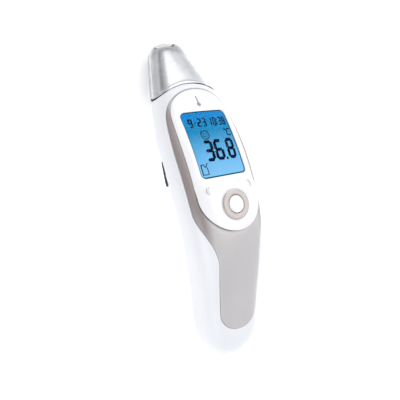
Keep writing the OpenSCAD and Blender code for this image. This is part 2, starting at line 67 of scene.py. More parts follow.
# Seven evenly spaced controls from the heel to the nose
SIDE_CONTROLS = (13.0, 15.7, 19.0, 20.6, 21.9, 16.6, 8.1)
FRONT_CONTROLS = (23.7, 28.2, 39.4, 39.0, 34.0, 24.8, 14.1)
BACK_CONTROLS = (-3.4, 1.6, 10.4, 12.4, 8.2, 4.4, -1.2)
FRONT_POWER = 2.4
BACK_POWER = 2.1
MID_SHARE = 0.55
HEEL_ROUND = 15.3
HEEL_POWER = 2.2
NOSE_ROUND = 5.4
NOSE_SHRINK = 0.4

SHELL_WALL = 1.6
SEAM_CENTRE = 97.3
SEAM_RADIUS = 30.0
GAP = 0.3
FIT = 0.12
CAP_WALL = 1.3
CONE_INSET = 1.66
CONE_FOOT, CONE_END, CONE_TIP_ROUND = 120.0, 148.0, 2.2

WINDOW_W, WINDOW_L, WINDOW_Y = 24.0, 30.0, 98.5
KEY_Y, KEY_R, RING_R = 70.7, 3.8, 6.6
PANEL_HALF, PANEL_HEEL, PANEL_TOP = 16.1, 59.5, 124.4
COVER_HEEL, COVER_TOP = 14.7, 124.9
DOOR_LOW, DOOR_HIGH, DOOR_HALF = 14.5, 61.0, 11.3
SCREW_SPOTS = ((-11.0, 114.5), (11.0, 114.5), (0.0, 63.2))
SCREW_WELL = 2.1
SCAN_W, SCAN_L = 4.0, 11.5
CELL_X, CELL_L, BAY_LOW = 5.45, 43.7, -2.2
LENS_T, FILM_DEPTH = 0.6, 0.85


# ---------------------------------------------------------------- body surface

def control(c, i):
    """Control i of a curve, carried on straight past both ends."""
    if i < 0:
        return 2 * c[0] - c[1]
    return 2 * c[6] - c[5] if i > 6 else c[i]


def spline(c, y):
    """Cubic spline over seven controls, at distances y from the heel."""
    u = np.asarray(y, float) / (BODY_LENGTH / 6)
    i = np.clip(np.floor(u), 0, 5).astype(int)
    t = u - i
    full = np.array([control(c, k) for k in range(-1, 8)])
    p, q, r, s = full[i], full[i + 1], full[i + 2], full[i + 3]
    return (p * (1 - t) ** 3 + q * (3 * t ** 3 - 6 * t ** 2 + 4)
            + r * (-3 * t ** 3 + 3 * t ** 2 + 3 * t + 1) + s * t ** 3) / 6


def smooth(t):
    q = np.clip(t, 0, 1)
    return q * q * (3 - 2 * q)


def side_at(y):
    return spline(SIDE_CONTROLS, y)


def front_at(y):
    return spline(FRONT_CONTROLS, y)


def back_at(y):
    return spline(BACK_CONTROLS, y)


def mid_at(y):
    return back_at(y) + MID_SHARE * (front_at(y) - back_at(y))


def end_scale(y, inset=0.0):
    """Shrink of a cross section close to the rounded heel and nose."""
    s = np.clip((HEEL_ROUND - y + inset) / (HEEL_ROUND - 0.2 * inset), 0, 1)
    q = np.clip((y - BODY_LENGTH + NOSE_ROUND) / NOSE_ROUND, 0, 1)
    nose = 1 - NOSE_SHRINK * (1 - np.sqrt(np.maximum(0, 1 - q * q)))
    return (1 - s ** HEEL_POWER) ** (1 / HEEL_POWER) * nose


def signed_pow(v, p):
    return np.sign(v) * np.abs(v) ** p


def body_point(a, y, inset=0.0, lift=0.0):
    """Points on the body at section angle a, drawn inward by inset, the front raised by lift."""
    a, y = np.broadcast_arrays(np.asarray(a, float), np.asarray(y, float))
    k = end_scale(y, inset)
    m = mid_at(y)
    up = np.sin(a) >= 0
    p = 2 / np.where(up, FRONT_POWER, BACK_POWER)
    height = np.where(up, front_at(y) - m - inset + lift, m - back_at(y) - inset) * k
    x = (side_at(y) - inset) * k * signed_pow(np.cos(a), p)
    z = m + height * signed_pow(np.sin(a), p)
    return np.stack([x, y, np.maximum(z, inset if inset else 0.0)], -1)


def plan_angle(x, y, front=True):
    """Section angle of the body point that lies over x on the front, or under it on the back."""
    power = FRONT_POWER if front else BACK_POWER
    share = np.clip(np.abs(x) / np.maximum(side_at(y) * end_scale(y), 1e-6), 0, 1) ** (power / 2)
    a = np.arccos(np.clip(share, 0, 1))
    a = np.where(np.asarray(x) < 0, math.pi - a, a)
    return a if front else 2 * math.pi - a


def pad_lift(y):
    """How far the face panel stands above the body, more under the thumb."""
    return 0.2 + 0.9 * smooth((80.5 - y) / 5) * smooth((y - 54) / 5)


def cover_half(y):
    """Half width of the front cover: wide round the panel, narrow down the grip, rounded at both ends."""
    grip = 10.0 + smooth((y - 18) / 26)
    wide = 19 - 2.2 * np.maximum(0, (y - 92) / 22) ** 2 - 0.6 * np.maximum(0, (92 - y) / 22) ** 2
    s = np.maximum(0, (y - 106) / (COVER_TOP - 106))
    h = np.maximum(0, (COVER_HEEL + 9 - y) / 9)
    return ((grip + (wide - grip) * smooth((y - 45) / 25)) * np.sqrt(np.maximum(0, 1 - s ** 4))
            * np.maximum(0, 1 - h ** 2.2) ** 0.4545)


def panel_side(y):
    """Half width of the face panel."""
    s = np.maximum(0, (y - 106) / (PANEL_TOP - 106))
    h = np.clip((PANEL_HEEL + PANEL_HALF - y) / PANEL_HALF, 0, 1)
    return ((PANEL_HALF - 0.9 * np.maximum(0, (y - 95) / 20) ** 2)
            * np.sqrt(np.maximum(0, 1 - s ** 4)) * np.sqrt(1 - h * h))


# ------------------------------------------------------------- plan outlines

def resample(points, step, closed=True):
    """Evenly spaced points along a line."""
    p = np.asarray(points, float)
    if closed:
        p = np.vstack([p, p[:1]])
    along = np.r_[0, np.cumsum(np.linalg.norm(np.diff(p, axis=0), axis=1))]
    n = max(2, int(round(along[-1] / step)))
    at = np.linspace(0, along[-1], n + 1)
    out = np.stack([np.interp(at, along, p[:, i]) for i in range(p.shape[1])], -1)
    return out[:-1] if closed else out


def grow(points, g):
    """A closed line moved outward by g; its points run anticlockwise."""
    p = np.asarray(points, float)
    t = np.roll(p, -1, 0) - np.roll(p, 1, 0)
    t /= np.maximum(np.linalg.norm(t, axis=1, keepdims=True), 1e-9)
    return p + g * np.stack([t[:, 1], -t[:, 0]], -1)


def lobe(half, low, high, step):
    """Closed anticlockwise outline, mirrored about the middle, from its half width along Y."""
    s = (1 - np.cos(np.linspace(0, math.pi, 900))) / 2
    y = low + (high - low) * s
    x = half(y)
    x[0] = x[-1] = 0
    return resample(np.vstack([np.stack([x, y], -1), np.stack([-x, y], -1)[-2:0:-1]]), step)


def rounded(w, l, r, y, step):
    """Rounded oblong centred on (0, y), anticlockwise."""
    pts = []
    for cx, cy, a0 in ((1, -1, -90), (1, 1, 0), (-1, 1, 90), (-1, -1, 180)):
        for a in np.radians(np.linspace(a0, a0 + 90, 13)):
            pts.append((cx * (w / 2 - r) + r * math.cos(a), y + cy * (l / 2 - r) + r * math.sin(a)))
    return resample(pts, step)


def circle(x, y, r, n):
    a = np.linspace(0, 2 * math.pi, n, endpoint=False)
    return np.stack([x + r * np.cos(a), y + r * np.sin(a)], -1)


def cover_outline(step=0.7):
    return lobe(cover_half, COVER_HEEL, COVER_TOP, step)


def panel_outline(step=0.6):
    return lobe(panel_side, PANEL_HEEL, PANEL_TOP, step)


def window_outline(g=0.0, step=0.5):
    return rounded(WINDOW_W + 2 * g, WINDOW_L + 2 * g, 2.2 + g, WINDOW_Y, step)


def door_outline(g=0.0, step=0.6):
    return rounded(2 * (DOOR_HALF + g), DOOR_HIGH - DOOR_LOW + 2 * g, 4 + g,
                   (DOOR_LOW + DOOR_HIGH) / 2, step)


# ---------------------------------------------------------------- mesh makers

def to_row(points):
    """Millimetres from the heel to metres in the frame of the whole part."""
    p = np.array(points, float).reshape(-1, 3)
    p[:, 1] -= HALF_LENGTH
    return p * MM


def new_piece(name, verts, faces, material, smooth_faces=True):
    """A closed mesh object from millimetre points, normals outward."""
    mesh = bpy.data.meshes.new(name)
    mesh.from_pydata([tuple(v) for v in to_row(verts)], [], [tuple(int(i) for i in f) for f in faces])
    mesh.validate()
    bm = bmesh.new()
    bm.from_mesh(mesh)
    bmesh.ops.remove_doubles(bm, verts=bm.verts, dist=1e-7)
    bmesh.ops.dissolve_degenerate(bm, dist=1e-8, edges=bm.edges)
    bmesh.ops.recalc_face_normals(bm, faces=bm.faces)
    for f in bm.faces:
        f.smooth = smooth_faces
    bm.to_mesh(mesh)
    bm.free()
    mesh.materials.append(material)
    obj = bpy.data.objects.new(name, mesh)
    bpy.context.scene.collection.objects.link(obj)
    return obj


def sharpen(obj, degrees):
    """Marks the creases of a smooth shaded mesh."""
    mesh = obj.data
    bm = bmesh.new()
    bm.from_mesh(mesh)
    for e in bm.edges:
        if len(e.link_faces) == 2:
            e.smooth = e.calc_face_angle(0) < math.radians(degrees)
    bm.to_mesh(mesh)
    bm.free()
    return obj


def join_parts(parts):
    """One list of points and faces from several."""
    verts, faces, base = [], [], 0
    for v, f in parts:
        v = np.asarray(v, float).reshape(-1, 3)
        verts.append(v)
        faces += [tuple(int(i) + base for i in face) for face in f]
        base += len(v)
    return np.vstack(verts), faces


def inside(points, loops):
    """Even-odd test of plan points against closed loops."""
    p = np.asarray(points, float)
    hit = np.zeros(len(p), bool)
    for loop in loops:
        a = np.asarray(loop, float)
        b = np.roll(a, -1, 0)
        for lo in range(0, len(p), 2000):
            q = p[lo:lo + 2000]
            x, y = q[:, :1], q[:, 1:]
            crosses = (a[None, :, 1] > y) != (b[None, :, 1] > y)
            run = np.where(np.abs(b[:, 1] - a[:, 1]) < 1e-12, 1e-12, b[:, 1] - a[:, 1])
            at = a[None, :, 0] + (y - a[None, :, 1]) * (b[:, 0] - a[:, 0])[None] / run[None]
            hit[lo:lo + 2000] ^= (np.sum(crosses & (x < at), 1) % 2).astype(bool)
    return hit


def distance(points, starts, ends):
    """Shortest distance from each point to a set of segments in space."""
    p = np.asarray(points, float)
    out = np.empty(len(p))
    d = ends - starts
    dd = np.maximum((d * d).sum(1), 1e-12)
    for lo in range(0, len(p), 400):
        q = p[lo:lo + 400, None, :]
        t = np.clip(((q - starts) * d).sum(2) / dd, 0, 1)
        gap = q - (starts + t[..., None] * d)
        out[lo:lo + 400] = np.sqrt((gap * gap).sum(2).min(1))
    return out


def skin(loops, surface, thickness, roll, step, seam_free=None, relief=None, extra=None):
    """A closed sheet of a moulding whose edges are rolled over by a small radius.

    loops: closed plan lines, the outer one first. surface: plan to points in space. seam_free: test
    of plan points that lie on a cut to be welded, not on an edge. relief: depth cut in the outside."""
    loops = [np.asarray(l, float) for l in loops]
    if seam_free is None:
        seam_free = lambda q: np.zeros(len(q), bool)
    starts, ends, ring = [], [], []
    for n, loop in enumerate(loops):
        nxt = np.roll(loop, -1, 0)
        real = ~(seam_free(loop) & seam_free(nxt))
        a, b = surface(loop), surface(nxt)
        starts.append(a[real])
        ends.append(b[real])
        t = nxt - np.roll(loop, 1, 0)
        t /= np.maximum(np.linalg.norm(t, axis=1, keepdims=True), 1e-9)
        side = np.stack([-t[:, 1], t[:, 0]], -1)
        side *= 1 if n == 0 else -1
        h = 1e-3
        stretch = np.linalg.norm(surface(loop + h * side) - surface(loop), axis=1) / h
        keep = ~seam_free(loop)
        for share in (0.1, 0.3, 0.6, 1.0, 1.7):
            off = loop + side * (share * roll / np.maximum(stretch, 0.2))[:, None]
            ring.append((off[keep], share * roll))
    starts, ends = np.vstack(starts), np.vstack(ends)
    low, high = loops[0].min(0), loops[0].max(0)
    nx, ny = (int(math.ceil(v)) for v in (high - low) / np.asarray(step, float))
    gx, gy = np.meshgrid(np.linspace(low[0], high[0], nx + 1)[1:-1], np.linspace(low[1], high[1], ny + 1)[1:-1])
    grid = np.stack([gx.ravel(), gy.ravel()], -1)
    if extra is not None:
        grid = np.vstack([grid, extra])
    grid = grid[inside(grid, loops)]
    clear = distance(surface(grid), starts, ends)
    grid = grid[clear > 2.0 * roll]
    inner = [grid]
    for pts, want in ring:
        pts = pts[inside(pts, loops)]
        if len(pts):
            got = distance(surface(pts), starts, ends)
            inner.append(pts[got > 0.88 * want])
    free = np.vstack(inner)
    verts = [Vector(p) for loop in loops for p in loop] + [Vector(p) for p in free]
    edges, base = [], 0
    for loop in loops:
        n = len(loop)
        edges += [(base + i, base + (i + 1) % n) for i in range(n)]
        base += n
    out, _, tris, *_ = delaunay_2d_cdt(verts, edges, [], 0, 1e-5)
    plan = np.array([tuple(v) for v in out])
    tris = np.array(tris, int)
    tris = tris[inside(plan[tris].mean(1), loops)]
    used = np.unique(tris)
    place = np.full(len(plan), -1)
    place[used] = np.arange(len(used))
    plan, tris = plan[used], place[tris]
    base_pts = surface(plan)
    h = 2e-3
    du = surface(plan + [h, 0]) - surface(plan - [h, 0])
    dv = surface(plan + [0, h]) - surface(plan - [0, h])
    normal = np.cross(du, dv)
    normal /= np.maximum(np.linalg.norm(normal, axis=1, keepdims=True), 1e-12)
    middle = np.stack([np.zeros(len(plan)), base_pts[:, 1], mid_at(base_pts[:, 1])], -1)
    if ((normal * (base_pts - middle)).sum(1)).mean() < 0:
        normal = -normal
        tris = tris[:, ::-1]
    near = distance(base_pts, starts, ends)
    f = np.clip(1 - near / roll, 0, 1)
    drop = roll * (1 - np.sqrt(np.maximum(0, 1 - f * f)))
    if relief is not None:
        drop = drop + relief(plan)
    outer = base_pts - normal * drop[:, None]
    inner_pts = base_pts - normal * thickness
    # weld points that a cut has doubled
    key = {}
    weld = np.empty(len(plan), int)
    for i, p in enumerate(np.round(base_pts, 4)):
        weld[i] = key.setdefault(tuple(p), i)
    tris = weld[tris]
    tris = tris[(tris[:, 0] != tris[:, 1]) & (tris[:, 1] != tris[:, 2]) & (tris[:, 0] != tris[:, 2])]
    n = len(plan)
    count = {}
    for t in tris:
        for e in ((t[0], t[1]), (t[1], t[2]), (t[2], t[0])):
            e = (int(e[0]), int(e[1]))
            if (e[1], e[0]) in count:
                del count[(e[1], e[0])]
            else:
                count[e] = True
    faces = [tuple(t) for t in tris] + [tuple(t + n) for t in tris[:, ::-1]]
    verts3 = [outer, inner_pts]
    cut = seam_free(plan)
    pole = [e for e in count if cut[e[0]] and cut[e[1]]]
    if pole:
        hub = len(plan) * 2
        ids = sorted({i for e in pole for i in e})
        verts3.append(outer[ids].mean(0, keepdims=True))
        verts3.append(inner_pts[ids].mean(0, keepdims=True))
        for a, b in pole:
            faces += [(b, a, hub), (a + n, b + n, hub + 1)]
    for a, b in count:
        if not (cut[a] and cut[b]):
            faces.append((b, a, a + n, b + n))
    return np.vstack(verts3), faces


def torus_grid(rows):
    """Closed ring of closed rows: faces between neighbouring rows and back to the first."""
    rows = [np.asarray(r, float) for r in rows]
    m, n = len(rows), len(rows[0])
    faces = [(j * n + i, j * n + (i + 1) % n, (j + 1) % m * n + (i + 1) % n, (j + 1) % m * n + i)
             for j in range(m) for i in range(n)]
    return np.vstack(rows), faces


def revolve(profile, sides, closed=False):
    """Solid turned about Z from (radius, height) points; an open profile starts and ends on the axis."""
    prof = [tuple(p) for p in profile]
    a = np.linspace(0, 2 * math.pi, sides, endpoint=False)
    verts, rows = [], []
    for r, z in prof:
        if r < 1e-6:
            rows.append([len(verts)])
            verts.append((0.0, 0.0, z))
        else:
            rows.append(list(range(len(verts), len(verts) + sides)))
            verts += [(r * c, r * s, z) for c, s in zip(np.cos(a), np.sin(a))]
    pairs = list(zip(rows, rows[1:])) + ([(rows[-1], rows[0])] if closed else [])
    faces = []
    for lo, hi in pairs:
        for i in range(sides):
            k = (i + 1) % sides
            if len(lo) == 1 and len(hi) == 1:
                continue
            if len(lo) == 1:
                faces.append((lo[0], hi[k], hi[i]))
            elif len(hi) == 1:
                faces.append((lo[i], lo[k], hi[0]))
            else:
                faces.append((lo[i], lo[k], hi[k], hi[i]))
    return np.array(verts), faces


def arc(cx, cy, r, a0, a1, n):
    """Points of an arc in a (radius, height) profile, angles in degrees."""
    return [(cx + r * math.cos(math.radians(a)), cy + r * math.sin(math.radians(a)))
            for a in np.linspace(a0, a1, n)]


def in_frame(matrix, verts):
    """Points of a tilted local frame in the heel frame."""
    return np.array([tuple(matrix @ Vector(v)) for v in verts])


def turned(degrees, axis):
    return Matrix.Rotation(math.radians(degrees), 4, axis)


DISPLAY = Matrix.Translation((0, WINDOW_Y, float(front_at(WINDOW_Y)))) @ turned(-15.1, "X")
KEY = Matrix.Translation((0, KEY_Y, float(front_at(KEY_Y)) + 1.1)) @ turned(-3, "X")
SCAN = Matrix.Translation((-19.3, 89.2, 18.5)) @ turned(-122.7, "Y")
HEAD = Matrix.Translation((0, BODY_LENGTH, 6.45)) @ turned(-107, "X")
CELLS = Matrix.Translation((0, 13.6, 12.3)) @ turned(-78.6, "X")


# ------------------------------------------------------------------ materials

def nodes_of(mat):
    mat.use_nodes = True
    tree = mat.node_tree
    tree.nodes.clear()
    return tree


def maths(tree, operation, second=None, feed=None):
    """Math node with its second input set and its first one fed from a socket."""
    node = tree.nodes.new("ShaderNodeMath")
    node.operation = operation
    if second is not None:
        node.inputs[1].default_value = second
    if feed is not None:
        tree.links.new(feed, node.inputs[0])
    return node


def node_of(tree, kind):
    return next(n for n in tree.nodes if n.type == kind)


def ramp_between(tree, stops):
    """Colour ramp through (position, colour) stops, first and last ones given in order."""
    ramp = tree.nodes.new("ShaderNodeValToRGB")
    ends = ramp.color_ramp.elements
    for element, (at, colour) in zip(ends, (stops[0], stops[-1])):
        element.position, element.color = at, (*colour[:3], 1)
    for at, colour in stops[1:-1]:
        ends.new(at).color = (*colour[:3], 1)
    return ramp


def set_inputs(node, values):
    for name, value in values.items():
        node.inputs[name].default_value = value
    return node


def moulded(name, colour, rough, grain_mm=0.35, grain=0.15, vary=0.03, rough_vary=0.06, streak=None, **extra):
    """Plastic, metal or glass with fine surface grain, slow colour drift and uneven polish."""
    mat = bpy.data.materials.new(name)
    tree = nodes_of(mat)
    add, link = tree.nodes.new, tree.links.new
    out = add("ShaderNodeOutputMaterial")
    shader = add("ShaderNodeBsdfPrincipled")
    link(shader.outputs[0], out.inputs["Surface"])
    coords = add("ShaderNodeTexCoord")
    place = add("ShaderNodeMapping")
    link(coords.outputs["Object"], place.inputs["Vector"])
    if streak:
        place.inputs["Scale"].default_value = streak
    drift = set_inputs(add("ShaderNodeTexNoise"), {"Scale": 70.0, "Detail": 3.0, "Roughness": 0.55})
    link(coords.outputs["Object"], drift.inputs["Vector"])
    fine = set_inputs(add("ShaderNodeTexNoise"),
                      {"Scale": 1.0 / (grain_mm * MM), "Detail": 4.0, "Roughness": 0.6})
    link(place.outputs["Vector"], fine.inputs["Vector"])
    tint = ramp_between(tree, ((0.3, [c * (1 - vary) for c in colour[:3]]), (0.7, colour)))
    link(drift.outputs["Fac"], tint.inputs["Fac"])
    link(tint.outputs["Color"], shader.inputs["Base Color"])
    polish = set_inputs(add("ShaderNodeMapRange"), {
        "From Min": 0.3, "From Max": 0.7,
        "To Min": max(0.0, rough - rough_vary), "To Max": min(1.0, rough + rough_vary)})
    mixed = maths(tree, "MULTIPLY_ADD", 0.5, fine.outputs["Fac"])
    half = maths(tree, "MULTIPLY", 0.5, drift.outputs["Fac"])
    link(half.outputs[0], mixed.inputs[2])
    link(mixed.outputs[0], polish.inputs["Value"])
    link(polish.outputs[0], shader.inputs["Roughness"])
    bump = set_inputs(add("ShaderNodeBump"), {"Strength": grain, "Distance": 0.02 * MM})
    link(fine.outputs["Fac"], bump.inputs["Height"])
    link(bump.outputs["Normal"], shader.inputs["Normal"])
    set_inputs(shader, extra)
    mat.diffuse_color = (*colour[:3], 1)
    return mat


# From the key end of the display to the probe end
DISPLAY_BLUES = ((0.0, (0.155, 0.36, 0.56)), (0.35, (0.09, 0.295, 0.51)),
                 (0.72, (0.006, 0.16, 0.32)), (1.0, (0.001, 0.15, 0.39)))


def lit_display(name):
    """Blue lit display face: deep at the probe end, pale toward the key."""
    mat = moulded(name, (0.01, 0.05, 0.12), 0.6, grain_mm=0.2, grain=0.05, **{"Specular IOR Level": 0.1})
    tree = mat.node_tree
    add, link = tree.nodes.new, tree.links.new
    shader, coords = node_of(tree, "BSDF_PRINCIPLED"), node_of(tree, "TEX_COORD")
    split = add("ShaderNodeSeparateXYZ")
    link(coords.outputs["Object"], split.inputs[0])
    low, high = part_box("lcd_glass")
    along = set_inputs(add("ShaderNodeMapRange"), {"From Min": low.y, "From Max": high.y})
    link(split.outputs["Y"], along.inputs["Value"])
    ramp = ramp_between(tree, DISPLAY_BLUES)
    link(along.outputs[0], ramp.inputs["Fac"])
    link(ramp.outputs["Color"], shader.inputs["Base Color"])
    link(ramp.outputs["Color"], shader.inputs["Emission Color"])
    shader.inputs["Emission Strength"].default_value = 0.65
    return mat


def absorb(mat, colour, density):
    """Gives a clear finish a faint body tint, seen where its wall is looked through edgewise."""
    tree = mat.node_tree
    out = node_of(tree, "OUTPUT_MATERIAL")
    body = tree.nodes.new("ShaderNodeVolumeAbsorption")
    set_inputs(body, {"Color": (*colour, 1), "Density": density})
    tree.links.new(body.outputs[0], out.inputs["Volume"])


def paint_shade_band(mat, colour, start, end, source="Object", axis="X"):
    """Deepens a finish where the place or the facing along one axis, either way, passes from start to end."""
    tree = mat.node_tree
    add, link = tree.nodes.new, tree.links.new
    shader, coords = node_of(tree, "BSDF_PRINCIPLED"), node_of(tree, "TEX_COORD")
    base = shader.inputs["Base Color"].links[0].from_socket
    split = add("ShaderNodeSeparateXYZ")
    away = maths(tree, "ABSOLUTE", feed=split.outputs[axis])
    share = set_inputs(add("ShaderNodeMapRange"), {"From Min": start, "From Max": end})
    blend = add("ShaderNodeMixRGB")
    blend.inputs[2].default_value = (*colour, 1)
    link(coords.outputs[source], split.inputs[0])
    link(away.outputs[0], share.inputs["Value"])
    link(share.outputs[0], blend.inputs[0])
    link(base, blend.inputs[1])
    link(blend.outputs[0], shader.inputs["Base Color"])
    return mat


def striped(name, first, second, width_mm, axis, rough):
    """Printed or layered stripes across one axis."""
    mat = moulded(name, first, rough, vary=0.02)
    tree = mat.node_tree
    add, link = tree.nodes.new, tree.links.new
    shader, coords = node_of(tree, "BSDF_PRINCIPLED"), node_of(tree, "TEX_COORD")
    wave = set_inputs(add("ShaderNodeTexWave"), {"Scale": 0.314 / (width_mm * MM) / 3.14, "Distortion": 0.0})
    wave.bands_direction = axis
    link(coords.outputs["Object"], wave.inputs["Vector"])
    ramp = ramp_between(tree, ((0.45, first), (0.55, second)))
    link(wave.outputs["Fac"], ramp.inputs["Fac"])
    link(ramp.outputs["Color"], shader.inputs["Base Color"])
    return mat


# Name, colour, roughness, grain in mm, grain strength, further settings of moulded, sockets of the shader
PLAIN_FINISHES = (
    ("lens_clear", (0.97, 0.99, 1.0), 0.02, 2.0, 0.01, {"vary": 0.0, "rough_vary": 0.015},
     {"Transmission Weight": 1.0, "IOR": 1.08}),
    ("key_dark", (0.035, 0.037, 0.042), 0.55, 0.22, 0.4, {}, {}),
    ("cap_clear", (0.92, 0.925, 0.93), 0.03, 3.0, 0.015, {"vary": 0.01, "rough_vary": 0.02},
     {"Transmission Weight": 1.0, "IOR": 1.26}),
    ("cone_silver", (0.93, 0.93, 0.935), 0.28, 0.12, 0.12, {"vary": 0.05},
     {"Metallic": 0.7, "Coat Weight": 0.3, "Coat Roughness": 0.12}),
    ("barrel_gold", (0.78, 0.56, 0.2), 0.2, 0.15, 0.1, {"streak": (1, 0.15, 1)}, {"Metallic": 1.0}),
    ("holder_black", (0.03, 0.03, 0.034), 0.5, 0.2, 0.3, {}, {}),
    ("can_steel", (0.62, 0.63, 0.66), 0.3, 0.1, 0.12, {"streak": (1, 0.1, 1)}, {"Metallic": 1.0}),
    ("sensor_glass", (0.12, 0.07, 0.1), 0.06, 1.0, 0.02, {}, {"Transmission Weight": 0.5}),
    ("frame_white", (0.78, 0.78, 0.8), 0.5, 0.3, 0.25, {}, {}),
    ("guide_white", (0.86, 0.92, 0.98), 0.3, 0.4, 0.1, {},
     {"Subsurface Weight": 0.3, "Subsurface Scale": 0.002}),
    ("board_green", (0.015, 0.16, 0.07), 0.3, 0.6, 0.25, {"vary": 0.25},
     {"Coat Weight": 0.5, "Coat Roughness": 0.1}),
    ("chip_black", (0.02, 0.02, 0.024), 0.45, 0.12, 0.35, {}, {}),
    ("parts_tan", (0.42, 0.31, 0.2), 0.4, 0.3, 0.2, {"vary": 0.15}, {}),
    ("contact_nickel", (0.66, 0.64, 0.6), 0.28, 0.1, 0.15, {"streak": (1, 0.2, 1)}, {"Metallic": 1.0}),
    ("screw_steel", (0.5, 0.51, 0.53), 0.33, 0.08, 0.2, {}, {"Metallic": 1.0}),
    ("ink_navy", (0.001, 0.008, 0.03), 0.7, 0.3, 0.05, {}, {"Specular IOR Level": 0.0}),
    ("rim_teal", (0.003, 0.10, 0.15), 0.7, 0.3, 0.05, {}, {"Specular IOR Level": 0.0}),
    ("print_grey", (0.30, 0.31, 0.34), 0.4, 0.15, 0.1, {}, {}),
)
FINISHES = {}


def make_finishes():
    """Every finish of the record's slots, and those of the ink, the rim and the printed mark."""
    looks = bpy.context.scene.wand_looks
    chosen = (
        ("shell_white", looks.shell, 0.38, 0.25, 0.22, {}, {"Coat Weight": 0.15, "Coat Roughness": 0.25}),
        ("cover_greige", looks.cover, 0.34, 0.18, 0.12, {"vary": 0.05},
         {"Metallic": 0.2, "Coat Weight": 0.2, "Coat Roughness": 0.25}),
        ("panel_white", looks.panel, 0.12, 1.2, 0.03, {"rough_vary": 0.03},
         {"Coat Weight": 1.0, "Coat Roughness": 0.03}),
        ("ring_greige", looks.ring, 0.12, 0.8, 0.03, {"rough_vary": 0.04},
         {"Metallic": 0.1, "Coat Weight": 0.7, "Coat Roughness": 0.08}),
        ("key_white", looks.panel, 0.2, 0.5, 0.06, {"rough_vary": 0.04},
         {"Coat Weight": 0.6, "Coat Roughness": 0.08}),
    )
    for name, colour, rough, grain_mm, grain, more, sockets in chosen + PLAIN_FINISHES:
        FINISHES[name] = moulded(name, tuple(colour)[:3], rough, grain_mm, grain, **more, **sockets)
    FINISHES["lcd_blue"] = lit_display("lcd_blue")
    FINISHES["strip_grey"] = striped("strip_grey", (0.35, 0.36, 0.4), (0.08, 0.08, 0.09), 0.3, "X", 0.5)
    FINISHES["cell_wrap"] = striped("cell_wrap", (0.02, 0.10, 0.20), (0.5, 0.5, 0.52), 9.0, "Y", 0.22)
    # painted shade: the cover is darkened toward its sides, beyond 12.2 mm from the middle, where its side
    # bands turn away from the light
    paint_shade_band(FINISHES["cover_greige"], (0.33, 0.285, 0.28), 12.2 * MM, 15.2 * MM)
    # painted reflection: the cone is greyed where its surface faces sideways, in place of the grey surround its
    # flanks would reflect
    paint_shade_band(FINISHES["cone_silver"], (0.5, 0.5, 0.51), 0.45, 0.9, source="Normal")
    # painted shade: the clear cap is greyed toward its tip, 68 to 74.5 mm from the middle along Y
    paint_shade_band(FINISHES["cap_clear"], (0.6, 0.6, 0.61), 68 * MM, 74.5 * MM, axis="Y")
    absorb(FINISHES["cap_clear"], (0.2, 0.2, 0.2), 40.0)


def finish(slot):
    """The material of one slot; all are made at the first call."""
    if not FINISHES:
        make_finishes()
    return FINISHES[slot]


def seat(obj, body, slot_name, *nodes):
    """Sets a piece on its body, names its finish and the CAD nodes it stands for."""
    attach(obj, body)
    if nodes:
        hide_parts(*nodes)
    return obj


def placed(name, mesh, slot_name, body, *nodes, crease=50):
    """A piece made from (points, faces), its creases marked, finished and seated."""
    obj = new_piece(name, *mesh, finish(slot_name))
    if crease:
        sharpen(obj, crease)
    return seat(obj, body, slot_name, *nodes)


# ------------------------------------------------------------------- settings

def size_of(name, description, default, low, high):
    return bpy.props.FloatProperty(name=name, description=description, default=default, min=low, max=high)


def count_of(name, description, default, low, high):
    return bpy.props.IntProperty(name=name, description=description, default=default, min=low, max=high)


def colour_of(name, description, *colour):
    return bpy.props.FloatVectorProperty(name=name, description=description, subtype="COLOR", size=4,
                                         default=(*colour, 1), min=0, max=1)


class WandSizes(bpy.types.PropertyGroup):
    """Sizes of the fine detail that the CAD leaves out."""
    edge_roll: size_of("Edge roll", "Radius of the rolled edges of the mouldings, mm", 0.32, 0.1, 0.6)
    skin_step: size_of("Skin step", "Spacing of points over the mouldings, mm", 1.1, 0.5, 3.0)
    rib_count: count_of("Rib count", "Grip ribs on the scan key", 5, 2, 9)
    rib_pitch: size_of("Rib pitch", "Spacing of the grip ribs, mm", 1.7, 1.0, 2.4)
    ridge_count: count_of("Ridge count", "Finger grooves on the battery door", 5, 2, 8)
    coil_turns: size_of("Coil turns", "Turns of each battery spring", 3.0, 1.0, 6.0)
    rim_width: size_of("Rim width", "Dark rim round the display, mm", 0.42, 0.1, 1.5)
    reading: bpy.props.StringProperty(name="Reading", description="Digits of the large reading", default="36.8")


class WandLooks(bpy.types.PropertyGroup):
    """Colours of the outside mouldings."""
    shell: colour_of("Shell", "Colour of the back and flanks", 0.80, 0.81, 0.835)
    cover: colour_of("Cover", "Colour of the front cover", 0.575, 0.55, 0.55)
    panel: colour_of("Panel", "Colour of the face panel and key", 0.87, 0.87, 0.885)
    ring: colour_of("Ring", "Colour of the key ring", 0.55, 0.49, 0.46)


# --------------------------------------------------------------------- pieces

def heel_y(v):
    """Distance along Y at arc length v over the rounded heel."""
    v = np.asarray(v, float)
    turned_by = np.minimum(v / HEEL_ROUND, math.pi / 2)
    return np.where(v < HEEL_ROUND * math.pi / 2, HEEL_ROUND * (1 - np.cos(turned_by)),
                    v - HEEL_ROUND * (math.pi / 2 - 1))


def heel_v(y):
    """Arc length over the rounded heel at distance y; the inverse of heel_y."""
    y = np.asarray(y, float)
    return np.where(y < HEEL_ROUND, HEEL_ROUND * np.arccos(np.clip(1 - y / HEEL_ROUND, -1, 1)),
                    y + HEEL_ROUND * (math.pi / 2 - 1))


# Width of the unrolled shell for one radian, and the arc length at which it is cut from its pole
WRAP = 20.0
POLE_CUT = 0.35


def wrap_surface(q):
    """Unrolled shell plan (angle times WRAP, arc length) to points on the body."""
    return body_point(q[:, 0] / WRAP, heel_y(q[:, 1]))


